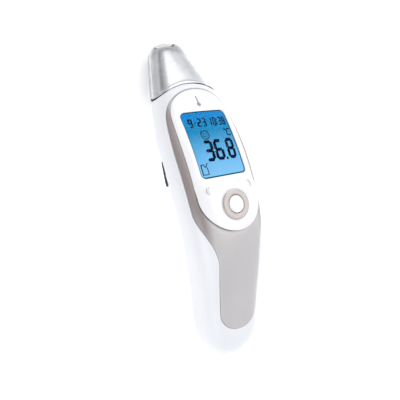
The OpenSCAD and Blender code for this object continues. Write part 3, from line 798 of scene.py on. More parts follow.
def seam_row(angles, shift=0.0):
    """Distances along Y where section angles meet the curved edge of the cap."""
    y = np.full(len(angles), SEAM_CENTRE + SEAM_RADIUS)
    for _ in range(40):
        x = body_point(angles, y)[:, 0]
        y = SEAM_CENTRE + np.sqrt(SEAM_RADIUS ** 2 - np.minimum(x * x, 800)) + shift
    return y


def rear_shell_mesh(sizes):
    outline = grow(cover_outline(0.6), FIT)
    right = outline[outline[:, 0] > 0.02]
    right = right[np.argsort(right[:, 1])]
    low_y, high_y = COVER_HEEL - FIT, COVER_TOP + FIT
    front = math.pi / 2
    side_a = plan_angle(right[:, 0], right[:, 1])
    line = np.vstack([[front * WRAP, float(heel_v(low_y))],
                      np.stack([side_a * WRAP, heel_v(right[:, 1])], -1),
                      [front * WRAP, float(heel_v(high_y))]])
    line = resample(line, 0.6, closed=False)
    v0 = POLE_CUT
    up = np.linspace(v0, line[0, 1], 24)[:-1]
    seam_top = float(heel_v(seam_row(np.array([front]))[0]))
    neck = np.linspace(line[-1, 1], seam_top, 5)[1:-1]
    turn = 2 * math.pi * WRAP
    # the left edge of the unrolled plan is the front centre line, run from heel to neck
    left = [(front * WRAP, v) for v in up]
    left += [(2 * front * WRAP - u, v) for u, v in line]
    left += [(front * WRAP, v) for v in neck]
    right_side = [(turn + 2 * front * WRAP - u, v) for u, v in left][::-1]
    angles = np.linspace(front, front + 2 * math.pi, 220)
    top = np.stack([angles * WRAP, heel_v(seam_row(angles))], -1)
    foot = np.stack([np.linspace(front + 2 * math.pi, front, 60) * WRAP, np.full(60, v0)], -1)[1:-1]
    loop = np.vstack([left, top, right_side, foot])[::-1]
    door = door_outline(GAP)
    door = np.stack([plan_angle(door[:, 0], door[:, 1], front=False) * WRAP, heel_v(door[:, 1])], -1)
    holes = [door]
    for x, y in SCREW_SPOTS:
        c = circle(x, y, SCREW_WELL, 28)
        holes.append(np.stack([plan_angle(c[:, 0], c[:, 1], front=False) * WRAP, heel_v(c[:, 1])], -1))
    slot = rounded(SCAN_W + 2 * GAP, SCAN_L + 2 * GAP, SCAN_W / 2 + GAP - 0.01, 0, 0.45)
    rim = in_frame(SCAN, np.c_[slot, np.zeros(len(slot))])
    y = rim[:, 1]
    m = mid_at(y)
    a = np.arctan2(signed_pow((rim[:, 2] - m) / (m - back_at(y)), BACK_POWER / 2),
                   signed_pow(rim[:, 0] / side_at(y), BACK_POWER / 2)) % (2 * math.pi)
    holes.append(np.stack([a * WRAP, heel_v(y)], -1))

    def on_cut(q):
        at_front = np.minimum(np.abs(q[:, 0] - front * WRAP), np.abs(q[:, 0] - front * WRAP - turn)) < 1e-6
        below = (q[:, 1] < line[0, 1] + 1e-6) | (q[:, 1] > line[-1, 1] - 1e-6)
        return (at_front & below) | (q[:, 1] < v0 + 1e-6)

    step = sizes.skin_step
    return skin([loop] + holes, wrap_surface, SHELL_WALL, sizes.edge_roll, (step * 1.3, step), seam_free=on_cut)


def build_rear_shell():
    sizes = bpy.context.scene.wand_sizes
    parts = [rear_shell_mesh(sizes)]
    for x, y in SCREW_SPOTS:
        z = float(body_point(plan_angle(np.array([x]), np.array([y]), False), np.array([y]))[0, 2])
        well = [(1.25, 3.4), (SCREW_WELL, 3.4), (SCREW_WELL, 0.7), (2.9, 0.7),
                (2.9, 12.6), (2.6, 12.9), (1.25, 12.9)]
        v, f = revolve(well, 32, closed=True)
        parts.append((v + [x, y, z], f))
    a = np.linspace(0, 2 * math.pi, 160, endpoint=False)
    foot = seam_row(a)
    parts.append(torus_grid([body_point(a, foot + rise, inset) for rise, inset in (
        (-1.5, 1.6), (-1.5, 1.37), (0.6, 1.37), (0.85, 1.41), (0.9, 1.5), (0.9, 1.6))]))
    return placed("rear_shell_moulding", join_parts(parts), "shell_white", "body", "rear_shell")


def front_surface(q, lift=None):
    x, y = q[:, 0], q[:, 1]
    raised = lift(y) if lift else 0.0
    return body_point(plan_angle(x, y), y, lift=raised)


def build_front_cover():
    sizes = bpy.context.scene.wand_sizes
    outline, pocket = cover_outline(), grow(panel_outline(), 0.1)
    step = sizes.skin_step
    ring = skin([outline, pocket[::-1]], front_surface, SHELL_WALL, sizes.edge_roll, (step, step))
    floor = skin([grow(pocket, -0.05), window_outline(0.5)[::-1], circle(0, KEY_Y, 6.0, 40)[::-1]],
                 lambda q: body_point(plan_angle(q[:, 0], q[:, 1]), q[:, 1], lift=-0.97),
                 0.63, 0.08, (2.2, 2.2))
    parts = [ring, floor]
    for x, y in ((-10, -20.5), (10, -20.5)):
        v, f = revolve([(0.9, -8), (2, -8), (2, -1.8), (0.9, -1.8)], 28, closed=True)
        parts.append((in_frame(DISPLAY, v + [x, y, 0]), f))
    return placed("front_cover_moulding", join_parts(parts), "cover_greige", "body", "front_cover")


def panel_surface(q):
    return front_surface(q, pad_lift)


def sunk(q, depth):
    """Points on the panel surface moved straight down."""
    return panel_surface(q) - [0, 0, depth]


def build_display_panel():
    sizes = bpy.context.scene.wand_sizes
    step = 0.9 * sizes.skin_step
    mesh = skin([panel_outline(), window_outline(0.1)[::-1], circle(0, KEY_Y, RING_R + 0.05, 72)[::-1]],
                panel_surface, 0.95, sizes.edge_roll, (step, step))
    return placed("face_panel", mesh, "panel_white", "body", "display_panel")


def build_window():
    """Clear lens that follows the panel, with a lit film bonded close under it."""
    lens = skin([window_outline()], panel_surface, LENS_T, 0.18, (1.0, 1.0))
    placed("display_lens", lens, "lens_clear", "body", "display_window")
    film = skin([window_outline(-0.05)], lambda q: sunk(q, FILM_DEPTH), 0.25, 0.05, (0.9, 0.9))
    return placed("display_film", film, "lcd_blue", "body", crease=None)


def build_ring():
    inner, top = KEY_R + GAP, 0.5
    mid = (inner + RING_R) / 2
    crown = [(mid + (RING_R - inner) / 2 * math.cos(t), 0.05 + (top - 0.05) * math.sin(t) ** 0.5)
             for t in np.linspace(0, math.pi, 25)]
    profile = crown + [(inner, -2.1), (5.9, -2.1), (5.9, -1.05), (RING_R, -1.05)]
    v, f = revolve(profile, 128, closed=True)
    return placed("key_ring", (in_frame(KEY, v), f), "ring_greige", "body", "button_ring", crease=60)


def build_power_key():
    lip = 0.36
    dish = [(r, 0.14 + 0.30 * (r / KEY_R) ** 2) for r in np.linspace(0, KEY_R - 0.5, 12)]
    under = [(KEY_R, -0.1), (KEY_R, -2.4), (KEY_R + 0.85, -2.45), (KEY_R + 0.85, -3.05), (KEY_R - 0.4, -3.1),
             (KEY_R - 0.7, -2.3), (1.5, -2.3), (1.5, -3.1), (0, -3.1)]
    profile = dish + arc(KEY_R - lip, 0.06, lip, 80, 0, 7) + under
    v, f = revolve(profile, 96)
    return placed("power_key_cap", (in_frame(KEY, v), f), "key_white", "power_key", "power_key")


def stadium(w, l, n=16):
    """Anticlockwise stadium with its long side along Y."""
    r = w / 2
    pts = [(r * math.cos(t), (l / 2 - r) + r * math.sin(t)) for t in np.linspace(0, math.pi, n)]
    pts += [(-r * math.cos(t), -(l / 2 - r) - r * math.sin(t)) for t in np.linspace(0, math.pi, n)]
    return np.array(pts)


def stacked(rows):
    """Solid from stacked rows with the same number of points; both ends are filled."""
    n = len(rows[0])
    verts = np.vstack(rows)
    faces = [(j * n + i, j * n + (i + 1) % n, (j + 1) * n + (i + 1) % n, (j + 1) * n + i)
             for j in range(len(rows) - 1) for i in range(n)]
    faces += [tuple(range(n))[::-1], tuple(range((len(rows) - 1) * n, len(rows) * n))]
    return verts, faces


def tree_with_inputs(name, inputs):
    """New geometry node group with named inputs and one geometry output."""
    tree = bpy.data.node_groups.new(name, "GeometryNodeTree")
    tree.interface.new_socket("Geometry", in_out="OUTPUT", socket_type="NodeSocketGeometry")
    for label, kind, default in inputs:
        item = tree.interface.new_socket(label, in_out="INPUT", socket_type=kind)
        if default is not None:
            item.default_value = default
    return tree, tree.nodes.new("NodeGroupInput"), tree.nodes.new("NodeGroupOutput")


def grown_mesh(name, tree, values, matrix, material):
    """Plain mesh object from a geometry node tree, set in place by a matrix in millimetres."""
    host = bpy.data.objects.new(name + "_host", bpy.data.meshes.new(name + "_host"))
    bpy.context.scene.collection.objects.link(host)
    mod = host.modifiers.new("grow", "NODES")
    mod.node_group = tree
    for item in tree.interface.items_tree:
        if item.item_type == "SOCKET" and item.in_out == "INPUT" and item.name in values:
            mod[item.identifier] = values[item.name]
    bpy.context.view_layer.update()
    made = host.evaluated_get(bpy.context.evaluated_depsgraph_get())
    mesh = bpy.data.meshes.new_from_object(made)
    host.modifiers.remove(mod)
    bpy.data.objects.remove(host)
    to_metres = Matrix.Scale(MM, 4) @ Matrix.Translation((0, -HALF_LENGTH, 0))
    mesh.transform(to_metres @ matrix)
    mesh.materials.clear()
    mesh.materials.append(material)
    mesh.name = name
    obj = bpy.data.objects.new(name, mesh)
    bpy.context.scene.collection.objects.link(obj)
    return obj


def painted(tree, geometry, inp, out):
    """Ends a tree: copies made real, the finish set, the result put out."""
    add, link = tree.nodes.new, tree.links.new
    real, paint = add("GeometryNodeRealizeInstances"), add("GeometryNodeSetMaterial")
    link(geometry, real.inputs[0])
    link(real.outputs[0], paint.inputs["Geometry"])
    link(inp.outputs["Finish"], paint.inputs["Material"])
    link(paint.outputs[0], out.inputs[0])
    return tree


def tube_along(tree, curve, radius, sides):
    """Capped round tube along a curve."""
    add, link = tree.nodes.new, tree.links.new
    ring, tube = add("GeometryNodeCurvePrimitiveCircle"), add("GeometryNodeCurveToMesh")
    ring.inputs["Resolution"].default_value = sides
    tube.inputs["Fill Caps"].default_value = True
    link(radius, ring.inputs["Radius"])
    link(curve, tube.inputs["Curve"])
    link(ring.outputs[0], tube.inputs["Profile Curve"])
    return tube.outputs[0]


def rib_tree():
    """Rounded bars repeated along Y."""
    tree, inp, out = tree_with_inputs("rib_row", [
        ("Count", "NodeSocketInt", 5), ("Pitch", "NodeSocketFloat", 1.7), ("Length", "NodeSocketFloat", 2.4),
        ("Radius", "NodeSocketFloat", 0.25), ("Finish", "NodeSocketMaterial", None)])
    add, link = tree.nodes.new, tree.links.new
    offset, row = add("ShaderNodeCombineXYZ"), add("GeometryNodeMeshLine")
    link(inp.outputs["Pitch"], offset.inputs["Y"])
    link(inp.outputs["Count"], row.inputs["Count"])
    link(offset.outputs[0], row.inputs["Offset"])
    bar = add("GeometryNodeCurvePrimitiveLine")
    for end, share in (("Start", -0.5), ("End", 0.5)):
        place = add("ShaderNodeCombineXYZ")
        link(maths(tree, "MULTIPLY", share, inp.outputs["Length"]).outputs[0], place.inputs["X"])
        link(place.outputs[0], bar.inputs[end])
    copies = add("GeometryNodeInstanceOnPoints")
    link(row.outputs[0], copies.inputs["Points"])
    link(tube_along(tree, bar.outputs[0], inp.outputs["Radius"], 16), copies.inputs["Instance"])
    return painted(tree, copies.outputs[0], inp, out)


def coil_tree():
    """Round wire wound into a coil that stands on XY."""
    tree, inp, out = tree_with_inputs("wire_coil", [
        ("Turns", "NodeSocketFloat", 3.0), ("Radius", "NodeSocketFloat", 3.0),
        ("Tip radius", "NodeSocketFloat", 2.4), ("Height", "NodeSocketFloat", 1.6),
        ("Wire", "NodeSocketFloat", 0.22), ("Finish", "NodeSocketMaterial", None)])
    coil = tree.nodes.new("GeometryNodeCurveSpiral")
    coil.inputs["Resolution"].default_value = 40
    for label, socket in (("Turns", "Rotations"), ("Radius", "Start Radius"), ("Tip radius", "End Radius"),
                          ("Height", "Height")):
        tree.links.new(inp.outputs[label], coil.inputs[socket])
    rounded_off = tree.nodes.new("GeometryNodeSetShadeSmooth")
    tree.links.new(tube_along(tree, coil.outputs[0], inp.outputs["Wire"], 10), rounded_off.inputs[0])
    return painted(tree, rounded_off.outputs[0], inp, out)


def build_scan_key():
    sizes = bpy.context.scene.wand_sizes
    rows = []
    for z, pull in ((-3.3, -0.9), (-2.4, -0.9), (-2.38, 0.0), (0.15, 0.0),
                    (0.35, 0.06), (0.5, 0.22), (0.58, 0.5), (0.6, 0.9)):
        ring = stadium(SCAN_W - 2 * pull, SCAN_L - 2 * pull)
        rows.append(np.c_[ring, np.full(len(ring), z)])
    verts, faces = stacked(rows)
    placed("scan_key_cap", (in_frame(SCAN, verts), faces), "key_dark", "scan_key", "scan_key", crease=45)
    values = {"Count": sizes.rib_count, "Pitch": sizes.rib_pitch, "Length": 2.4, "Radius": 0.22,
              "Finish": finish("key_dark")}
    first = Matrix.Translation((0, -(sizes.rib_count - 1) / 2 * sizes.rib_pitch, 0.5))
    ribs = grown_mesh("scan_key_ribs", rib_tree(), values, SCAN @ first, finish("key_dark"))
    return seat(ribs, "scan_key", "key_dark")


def build_springs():
    sizes = bpy.context.scene.wand_sizes
    tree = coil_tree()
    for n, (x, z, height, turns) in enumerate(((CELL_X, BAY_LOW + 0.58, 1.4, sizes.coil_turns),
                                               (-CELL_X, CELL_L + 1.13, 1.0, sizes.coil_turns - 1))):
        values = {"Turns": turns, "Radius": 3.0, "Tip radius": 2.6, "Height": height, "Wire": 0.22,
                  "Finish": finish("contact_nickel")}
        spring = grown_mesh("battery_spring_%d" % (n + 1), tree, values,
                            CELLS @ Matrix.Translation((x, 0, z)), finish("contact_nickel"))
        seat(spring, "body", "contact_nickel", "contact_springs")


def build_battery_door():
    sizes = bpy.context.scene.wand_sizes

    def grooves(q):
        depth = np.zeros(len(q))
        for i in range(sizes.ridge_count):
            y = DOOR_HIGH - 6 - 2.2 * i
            half = (11 - 1.2 * i) / 2
            across = np.clip(1 - ((q[:, 1] - y) / 0.62) ** 2, 0, 1) ** 0.75
            depth += 0.36 * across * smooth((half + 0.3 - np.abs(q[:, 0])) / 0.6)
        return depth

    fine_x, fine_y = np.meshgrid(np.arange(-6.3, 6.31, 0.35), np.arange(DOOR_HIGH - 16, DOOR_HIGH - 4.6, 0.16))
    extra = np.stack([fine_x.ravel(), fine_y.ravel()], -1)
    mesh = skin([door_outline()], lambda q: body_point(plan_angle(q[:, 0], q[:, 1], False), q[:, 1]),
                SHELL_WALL, sizes.edge_roll, (sizes.skin_step, sizes.skin_step), relief=grooves, extra=extra)
    return placed("battery_door_moulding", mesh, "shell_white", "battery_door", "battery_door")


def build_cap():
    """Clear cap: one closed wall, rounded at its open tip and along its curved edge."""
    a = np.linspace(0, 2 * math.pi, 180, endpoint=False)
    y0 = seam_row(a, GAP)
    nose = BODY_LENGTH - NOSE_ROUND
    rows = []
    for rise, inset in ((0.0, 1.0), (0.02, 0.65), (0.0, 0.3), (0.1, 0.1), (0.35, 0.0)):
        rows.append(body_point(a, y0 + rise, inset))
    start = y0 + 0.35
    for t in np.linspace(0, 1, 22)[1:]:
        rows.append(body_point(a, start + (nose - start) * t))
    for t in np.linspace(0, math.pi / 2, 14)[1:]:
        rows.append(body_point(a, nose + NOSE_ROUND * math.sin(t)))
    rows.append(body_point(a, BODY_LENGTH, 0.2))
    rows.append(body_point(a, BODY_LENGTH, CAP_WALL - 0.2))
    for t in np.linspace(math.pi / 2, 0, 12):
        rows.append(body_point(a, nose + NOSE_ROUND * math.sin(t), CAP_WALL))
    for t in np.linspace(1, 0, 20)[1:]:
        rows.append(body_point(a, start + (nose - start) * t, CAP_WALL))
    rows.append(body_point(a, y0 + 0.1, CAP_WALL - 0.1))
    return placed("clear_cap", torus_grid(rows), "cap_clear", "cap", "protective_cap", crease=60)


def build_cone():
    """Silver cone under the cap, with two fine beads round its foot and a bore for the barrel."""
    a = np.linspace(0, 2 * math.pi, 160, endpoint=False)
    foot = seam_row(a, 0.0)
    rows = []
    for t in np.linspace(0, 1, 8):
        rows.append(body_point(a, CONE_FOOT + (foot - 0.4 - CONE_FOOT) * t, CONE_INSET))
    for d, up in ((-0.2, 0.0), (0.0, 0.12), (0.25, 0.16), (0.5, 0.12), (0.7, 0.0),
                  (1.2, 0.0), (1.35, 0.08), (1.55, 0.1), (1.75, 0.0)):
        rows.append(body_point(a, foot + d, CONE_INSET - up))
    end, tip = CONE_END, CONE_TIP_ROUND
    for t in np.linspace(0, 1, 24)[1:]:
        start = foot + 2.0
        rows.append(body_point(a, start + (end - tip - start) * t, CONE_INSET))
    for t in np.radians(np.linspace(0, 90, 9)[1:]):
        inset = CONE_INSET + 0.62 * tip * (1 - math.cos(t))
        rows.append(body_point(a, end - tip + tip * math.sin(t), inset))
    axis = np.array(HEAD.to_3x3() @ Vector((0, 0, 1)))
    side = np.array((1.0, 0, 0))
    rise = np.cross(side, axis)
    rise *= np.sign(rise[2])
    centre = np.array(HEAD.translation)

    def bore(y, r):
        spoke = r * (np.cos(a)[:, None] * side + np.sin(a)[:, None] * rise)
        along = (y - centre[1] - spoke[:, 1]) / axis[1]
        return centre + spoke + along[:, None] * axis

    for depth, r in ((0, 3.75), (0.08, 3.55), (0.3, 3.45), (2.8, 3.45), (3.0, 3.6)):
        rows.append(bore(end - depth, r))
    rows.append(body_point(a, end - 3.0, CONE_INSET + 1.9))
    for t in np.linspace(1, 0, 12):
        rows.append(body_point(a, CONE_FOOT + (end - 3.4 - CONE_FOOT) * t, CONE_INSET + 1.5))
    return placed("probe_cone_shell", torus_grid(rows), "cone_silver", "body", "probe_cone")


# ------------------------------------------------------------ display content

def slanted(points, lean=0.06):
    """Points leaning to the right with their height."""
    return [(x + lean * y, y) for x, y in points]


# Gap and pointed length of a bar's end, as shares of its thickness
SEGMENT_GAP, SEGMENT_POINT = 0.02, 0.3
# Height and bar thickness of the small digits; width, height, thickness and left edges of the large ones
SMALL_H, SMALL_T = 4.1, 0.62
LARGE_W, LARGE_H, LARGE_T = 4.75, 9.5, 1.45
LARGE_LEFT = (-7.1, -1.85, 4.75)
SEGMENTS = {"0": "abcdef", "1": "bc", "2": "abged", "3": "abgcd", "4": "fgbc", "5": "afgcd", "6": "afgedc",
            "7": "abc", "8": "abcdefg", "9": "abcdfg", "-": "g"}


def segment_shapes(char, x, y, w, h, t):
    """Bars of one seven segment character, its lower left corner at (x, y)."""
    g = t * SEGMENT_GAP

    def bar(x0, y0, x1, y1):
        dx, dy = x1 - x0, y1 - y0
        n = math.hypot(dx, dy)
        dx, dy = dx / n, dy / n
        px, py = -dy * t / 2, dx * t / 2
        k = t * SEGMENT_POINT
        ax, ay, bx, by = x0 + dx * g, y0 + dy * g, x1 - dx * g, y1 - dy * g
        kx, ky = dx * k, dy * k
        return [(ax, ay), (ax + kx - px, ay + ky - py), (bx - kx - px, by - ky - py),
                (bx, by), (bx - kx + px, by - ky + py), (ax + kx + px, ay + ky + py)]

    l, r, b, m, u = t / 2, w - t / 2, t / 2, h / 2, h - t / 2
    lines = {"a": (l, u, r, u), "b": (r, m, r, u), "c": (r, b, r, m), "d": (l, b, r, b), "e": (l, b, l, m),
             "f": (l, m, l, u), "g": (l, m, r, m)}
    shapes = [bar(*lines[s]) for s in SEGMENTS[char]]
    return [[(x + px, y + py) for px, py in slanted(s)] for s in shapes]


def disc(x, y, r, n=20):
    return [(x + r * math.cos(t), y + r * math.sin(t)) for t in np.linspace(0, 2 * math.pi, n, endpoint=False)]


def stroke(points, t):
    """A line of given thickness as a chain of quads."""
    out = []
    for (x0, y0), (x1, y1) in zip(points, points[1:]):
        n = math.hypot(x1 - x0, y1 - y0)
        px, py = -(y1 - y0) / n * t / 2, (x1 - x0) / n * t / 2
        ex, ey = (x1 - x0) / n * t * 0.3, (y1 - y0) / n * t * 0.3
        out.append([(x0 - px - ex, y0 - py - ey), (x1 - px + ex, y1 - py + ey),
                    (x1 + px + ex, y1 + py + ey), (x0 + px - ex, y0 + py - ey)])
    return out


def ring_stroke(x, y, r, t, a0=0, a1=360, n=28):
    return stroke(arc(x, y, r, a0, a1, n), t)


def at_window(u, v):
    """Place on the display, from shares of its width and height counted from the top left."""
    return (u - 0.5) * WINDOW_W, (0.5 - v) * WINDOW_L


def display_shapes(reading):
    shapes = []
    x0, base = at_window(0, 0.245)
    for char, u0, u1 in (("9", 0.115, 0.2), ("-", 0.225, 0.28), ("2", 0.295, 0.38), ("3", 0.4, 0.485),
                         ("1", 0.555, 0.61), ("0", 0.635, 0.715), ("3", 0.765, 0.845), ("8", 0.865, 0.945)):
        x = at_window(u0, 0)[0]
        shapes += segment_shapes(char, x - 0.45, base, (u1 - u0) * WINDOW_W, SMALL_H, SMALL_T)
    for k in (0.28, 0.68):
        shapes.append(disc(at_window(0.738, 0)[0] - 0.3, base + k * SMALL_H, 0.32, 12))
    # face symbol
    fx, fy = at_window(0.345, 0.37)
    shapes += ring_stroke(fx, fy, 2.0, 0.34, n=36)
    shapes += ring_stroke(fx, fy + 0.15, 1.15, 0.3, 205, 335, 12)
    shapes += [disc(fx - 0.7, fy + 0.6, 0.28, 10), disc(fx + 0.7, fy + 0.6, 0.28, 10)]
    # unit
    ux, uy = at_window(0.9, 0.36)
    shapes += ring_stroke(ux - 1.95, uy + 1.35, 0.45, 0.28, n=16)
    shapes += stroke([(ux + 1.2, uy + 1.25), (ux + 0.6, uy + 1.5), (ux - 0.4, uy + 1.5), (ux - 0.85, uy + 1.05),
                      (ux - 1.05, uy - 1.05), (ux - 0.7, uy - 1.5), (ux + 0.4, uy - 1.5),
                      (ux + 0.95, uy - 1.25)], 0.5)
    # large reading
    base = at_window(0, 0.77)[1]
    digits = [c for c in reading if c in SEGMENTS][:3]
    for char, x in zip(digits, LARGE_LEFT):
        shapes += segment_shapes(char, x, base, LARGE_W, LARGE_H, LARGE_T)
    dot = at_window(0.655, 0.755)
    shapes.append(disc(dot[0], dot[1], 0.6, 16))
    # record symbol: a card with a tick
    x0, y1 = at_window(0.06, 0.8)
    x1, y0 = at_window(0.165, 0.945)
    shapes += stroke([(x1, y1 - 1.5), (x1, y0), (x0, y0), (x0, y1), (x1 - 1.1, y1)], 0.36)
    shapes += stroke([(x1 - 1.2, y1 - 0.5), (x1 - 0.6, y1 - 1.2), (x1 + 0.5, y1 + 0.5)], 0.36)
    return shapes


def laid(shapes, depth, thick, cell=0.9):
    """Flat shapes laid on the curved panel surface at a depth, cut fine enough to follow it."""
    bm = bmesh.new()
    for s in shapes:
        face = bm.faces.new([bm.verts.new((x, y, 0)) for x, y in s])
        face.normal_update()
        if face.normal.z < 0:
            face.normal_flip()
    xs = [v.co.x for v in bm.verts]
    ys = [v.co.y for v in bm.verts]
    for normal, low, high in (((1, 0, 0), min(xs), max(xs)), ((0, 1, 0), min(ys), max(ys))):
        axis = 0 if normal[0] else 1
        for at in np.arange(math.ceil(low / cell) * cell, high, cell):
            spot = [0.0, 0.0, 0.0]
            spot[axis] = float(at)
            bmesh.ops.bisect_plane(bm, geom=bm.verts[:] + bm.edges[:] + bm.faces[:],
                                   plane_co=spot, plane_no=normal)
    raised = bmesh.ops.extrude_face_region(bm, geom=bm.faces[:])
    top = [v for v in raised["geom"] if isinstance(v, bmesh.types.BMVert)]
    bmesh.ops.translate(bm, verts=top, vec=(0, 0, 1))
    bm.verts.index_update()
    flat = np.array([tuple(v.co) for v in bm.verts])
    faces = [tuple(v.index for v in f.verts) for f in bm.faces]
    bm.free()
    out = panel_surface(flat[:, :2])
    out[:, 2] -= depth + thick * (1 - flat[:, 2])
    return out, faces


def build_display_content():
    sizes = bpy.context.scene.wand_sizes
    shapes = [[(x, y + WINDOW_Y) for x, y in s] for s in display_shapes(sizes.reading)]
    ink = laid(shapes, FILM_DEPTH - 0.07, 0.06)
    digits = new_piece("display_symbols", *ink, finish("ink_navy"), smooth_faces=False)
    seat(digits, "body", "lcd_blue")
    outer = window_outline(-0.06, 0.5)
    inner = grow(outer, -sizes.rim_width)
    rows = [sunk(line, FILM_DEPTH - rise) for line, rise in (
        (outer, 0.0), (outer, 0.09), (inner, 0.09), (inner, 0.0))]
    rim = new_piece("display_rim", *torus_grid(rows), finish("rim_teal"), smooth_faces=False)
    return seat(rim, "body", "lcd_blue")


def build_panel_print():
    """Small generic thermometer mark printed above the display."""
    shapes = [disc(0, -1.1, 0.75, 20)]
    shapes += stroke([(0, -1.1), (0, 1.6)], 0.55)
    shapes.append(disc(0, 1.6, 0.28, 12))
    for y in (0.0, 0.7, 1.4):
        shapes += stroke([(0.55, y), (1.1, y)], 0.18)
    mark = [[(1.4 * x - 1.0, 1.4 * y + 118.3) for x, y in s] for s in shapes]
    obj = new_piece("panel_mark", *laid(mark, -0.02, 0.05), finish("print_grey"), smooth_faces=False)
    return seat(obj, "body", "panel_white")


def build_inner_finishes():
    """Gives every CAD node that stays its own finish."""
    slots = {s["node"]: s["material_slot"] for s in frame["record"]["subparts"]}
    for name, obj in frame["nodes"].items():
        obj.data.materials.clear()
        obj.data.materials.append(finish(slots[name]))


# ---------------------------------------------------------------------- stage

FLOOR_HALF_M = 3.0
CAMERA_LENS, CAMERA_SENSOR = 40.5, 36.0
CAMERA_PLACE_M = (-0.1166, 0.00597, 0.19181)
CAMERA_TURNS = (("Z", 11.0), ("X", 1.713), ("Y", 33.025))
# Name, place, target, width and height in metres, power in watts, colour
LIGHTS = (
    ("key_light", (0.25, 0.1, 0.8), (0, 0, 0.02), (0.7, 0.7), 1.5, (1.0, 0.995, 0.985)),
    ("fill_light", (-0.6, -0.4, 0.4), (0, 0, 0.02), (0.6, 0.4), 2.8, (0.95, 0.97, 1.0)),
    ("far_light", (0.25, 0.55, 0.55), (0, 0.06, 0.02), (0.9, 0.5), 2.1),
    ("side_light", (0.42, 0.16, 0.16), (0, 0.06, 0.02), (0.5, 0.3), 0.1),
)


def soft_light(name, place, target, size, power, colour=(1, 1, 1)):
    data = bpy.data.lights.new(name, "AREA")
    data.shape = "RECTANGLE"
    data.size, data.size_y = size
    data.energy = power
    data.color = colour
    obj = bpy.data.objects.new(name, data)
    obj.location = place
    obj.rotation_mode = "QUATERNION"
    obj.rotation_quaternion = (Vector(target) - Vector(place)).to_track_quat("-Z", "Y")
    bpy.context.scene.collection.objects.link(obj)


def studio_world():
    """Even white surround with a grey card low on the left."""
    world = bpy.data.worlds.new("studio")
    world.use_nodes = True
    tree = world.node_tree
    tree.nodes.clear()
    add, link = tree.nodes.new, tree.links.new
    out, back, split = add("ShaderNodeOutputWorld"), add("ShaderNodeBackground"), add("ShaderNodeSeparateXYZ")
    link(add("ShaderNodeTexCoord").outputs["Generated"], split.inputs[0])
    left = set_inputs(add("ShaderNodeMapRange"), {"From Min": -0.25, "From Max": -0.55})
    low = set_inputs(add("ShaderNodeMapRange"), {"From Min": 0.98, "From Max": 0.8})
    card = maths(tree, "MULTIPLY", feed=left.outputs[0])
    link(split.outputs["X"], left.inputs["Value"])
    link(split.outputs["Z"], low.inputs["Value"])
    link(low.outputs[0], card.inputs[1])
    ramp = ramp_between(tree, ((0.0, (0.93, 0.95, 0.98)), (1.0, (0.27, 0.255, 0.26))))
    link(card.outputs[0], ramp.inputs["Fac"])
    link(ramp.outputs["Color"], back.inputs["Color"])
    back.inputs["Strength"].default_value = 0.8
    link(back.outputs[0], out.inputs["Surface"])
    return world


def build_stage():
    scene = bpy.context.scene
    mesh = bpy.data.meshes.new("floor")
    corners = [(x * FLOOR_HALF_M, y * FLOOR_HALF_M, 0) for x, y in ((-1, -1), (1, -1), (1, 1), (-1, 1))]
    mesh.from_pydata(corners, [], [(0, 1, 2, 3)])
    floor = bpy.data.objects.new("floor", mesh)
    scene.collection.objects.link(floor)
    mat = moulded("floor_paper", (0.93, 0.93, 0.935), 0.8, grain_mm=1.5, grain=0.05, vary=0.01)
    set_inputs(node_of(mat.node_tree, "BSDF_PRINCIPLED"),
               {"Emission Color": (1, 1, 1, 1), "Emission Strength": 0.34})
    mesh.materials.append(mat)
    scene.world = studio_world()
    for row in LIGHTS:
        soft_light(*row)
    data = bpy.data.cameras.new("camera")
    data.lens, data.sensor_width = CAMERA_LENS, CAMERA_SENSOR
    data.clip_start, data.clip_end = 0.005, 20
    cam = bpy.data.objects.new("camera", data)
    turn = Matrix.Identity(3)
    for axis, degrees in CAMERA_TURNS:
        turn = turn @ Matrix.Rotation(math.radians(degrees), 3, axis)
    cam.matrix_world = Matrix.Translation(CAMERA_PLACE_M) @ turn.transposed().to_4x4()
    scene.collection.objects.link(cam)
    scene.camera = cam
    scene.view_settings.view_transform = "Standard"


# ------------------------------------------------------------------ operators

def operator(idname, label, doc, build):
    """An operator class that runs one builder."""
    def execute(self, context):
        build()
        return {"FINISHED"}
    return type("WAND_OT_" + idname, (bpy.types.Operator,), {
        "__doc__": doc, "bl_idname": "wand." + idname, "bl_label": label, "bl_options": {"REGISTER", "UNDO"},
        "execute": execute})


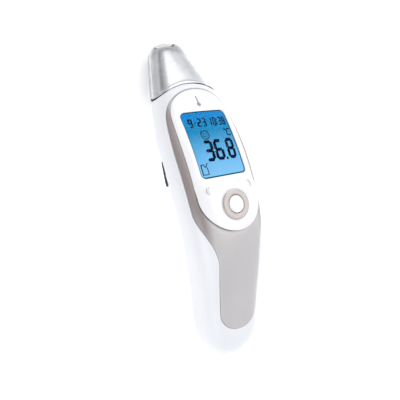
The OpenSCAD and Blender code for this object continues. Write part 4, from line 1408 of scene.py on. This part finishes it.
OPERATORS = [operator(*row) for row in (
    ("inner_finishes", "Inner finishes", "Finish every CAD node that stays as it is", build_inner_finishes),
    ("rear_shell", "Rear shell", "White back, flanks and neck band", build_rear_shell),
    ("front_cover", "Front cover", "Greige cover with the pocket of the panel", build_front_cover),
    ("display_panel", "Face panel", "Gloss panel with the thumb pad", build_display_panel),
    ("display_window", "Display lens", "Clear lens over the display", build_window),
    ("display_content", "Display content", "Symbols and rim of the display", build_display_content),
    ("panel_print", "Panel mark", "Small printed mark above the display", build_panel_print),
    ("button_ring", "Key ring", "Gloss ring round the power key", build_ring),
    ("power_key", "Power key", "Round dished key", build_power_key),
    ("scan_key", "Scan key", "Dark flank key and its ribs", build_scan_key),
    ("battery_door", "Battery door", "Door with finger grooves", build_battery_door),
    ("battery_springs", "Battery springs", "Coils under the flat cell ends", build_springs),
    ("clear_cap", "Clear cap", "Cap over the probe", build_cap),
    ("probe_cone", "Probe cone", "Silver cone under the cap", build_cone),
    ("stage", "Stage", "Floor, light and camera", build_stage),
)]


class WAND_PT_panel(bpy.types.Panel):
    """Lists the builders and their settings."""
    bl_label = "Thermometer"
    bl_idname = "WAND_PT_panel"
    bl_space_type = "VIEW_3D"
    bl_region_type = "UI"
    bl_category = "Thermometer"

    def draw(self, context):
        for group in (context.scene.wand_sizes, context.scene.wand_looks):
            box = self.layout.box()
            for key in group.__annotations__:
                box.prop(group, key)
        for cls in OPERATORS:
            self.layout.operator(cls.bl_idname)


CLASSES = [WandSizes, WandLooks, *OPERATORS, WAND_PT_panel]


def register():
    for cls in CLASSES:
        bpy.utils.register_class(cls)
    bpy.types.Scene.wand_sizes = bpy.props.PointerProperty(type=WandSizes)
    bpy.types.Scene.wand_looks = bpy.props.PointerProperty(type=WandLooks)


def unregister():
    del bpy.types.Scene.wand_looks
    del bpy.types.Scene.wand_sizes
    for cls in reversed(CLASSES):
        bpy.utils.unregister_class(cls)


def main():
    register()
    for cls in OPERATORS:
        group, name = cls.bl_idname.split(".")
        getattr(getattr(bpy.ops, group), name)()


if __name__ == "__main__":
    main()
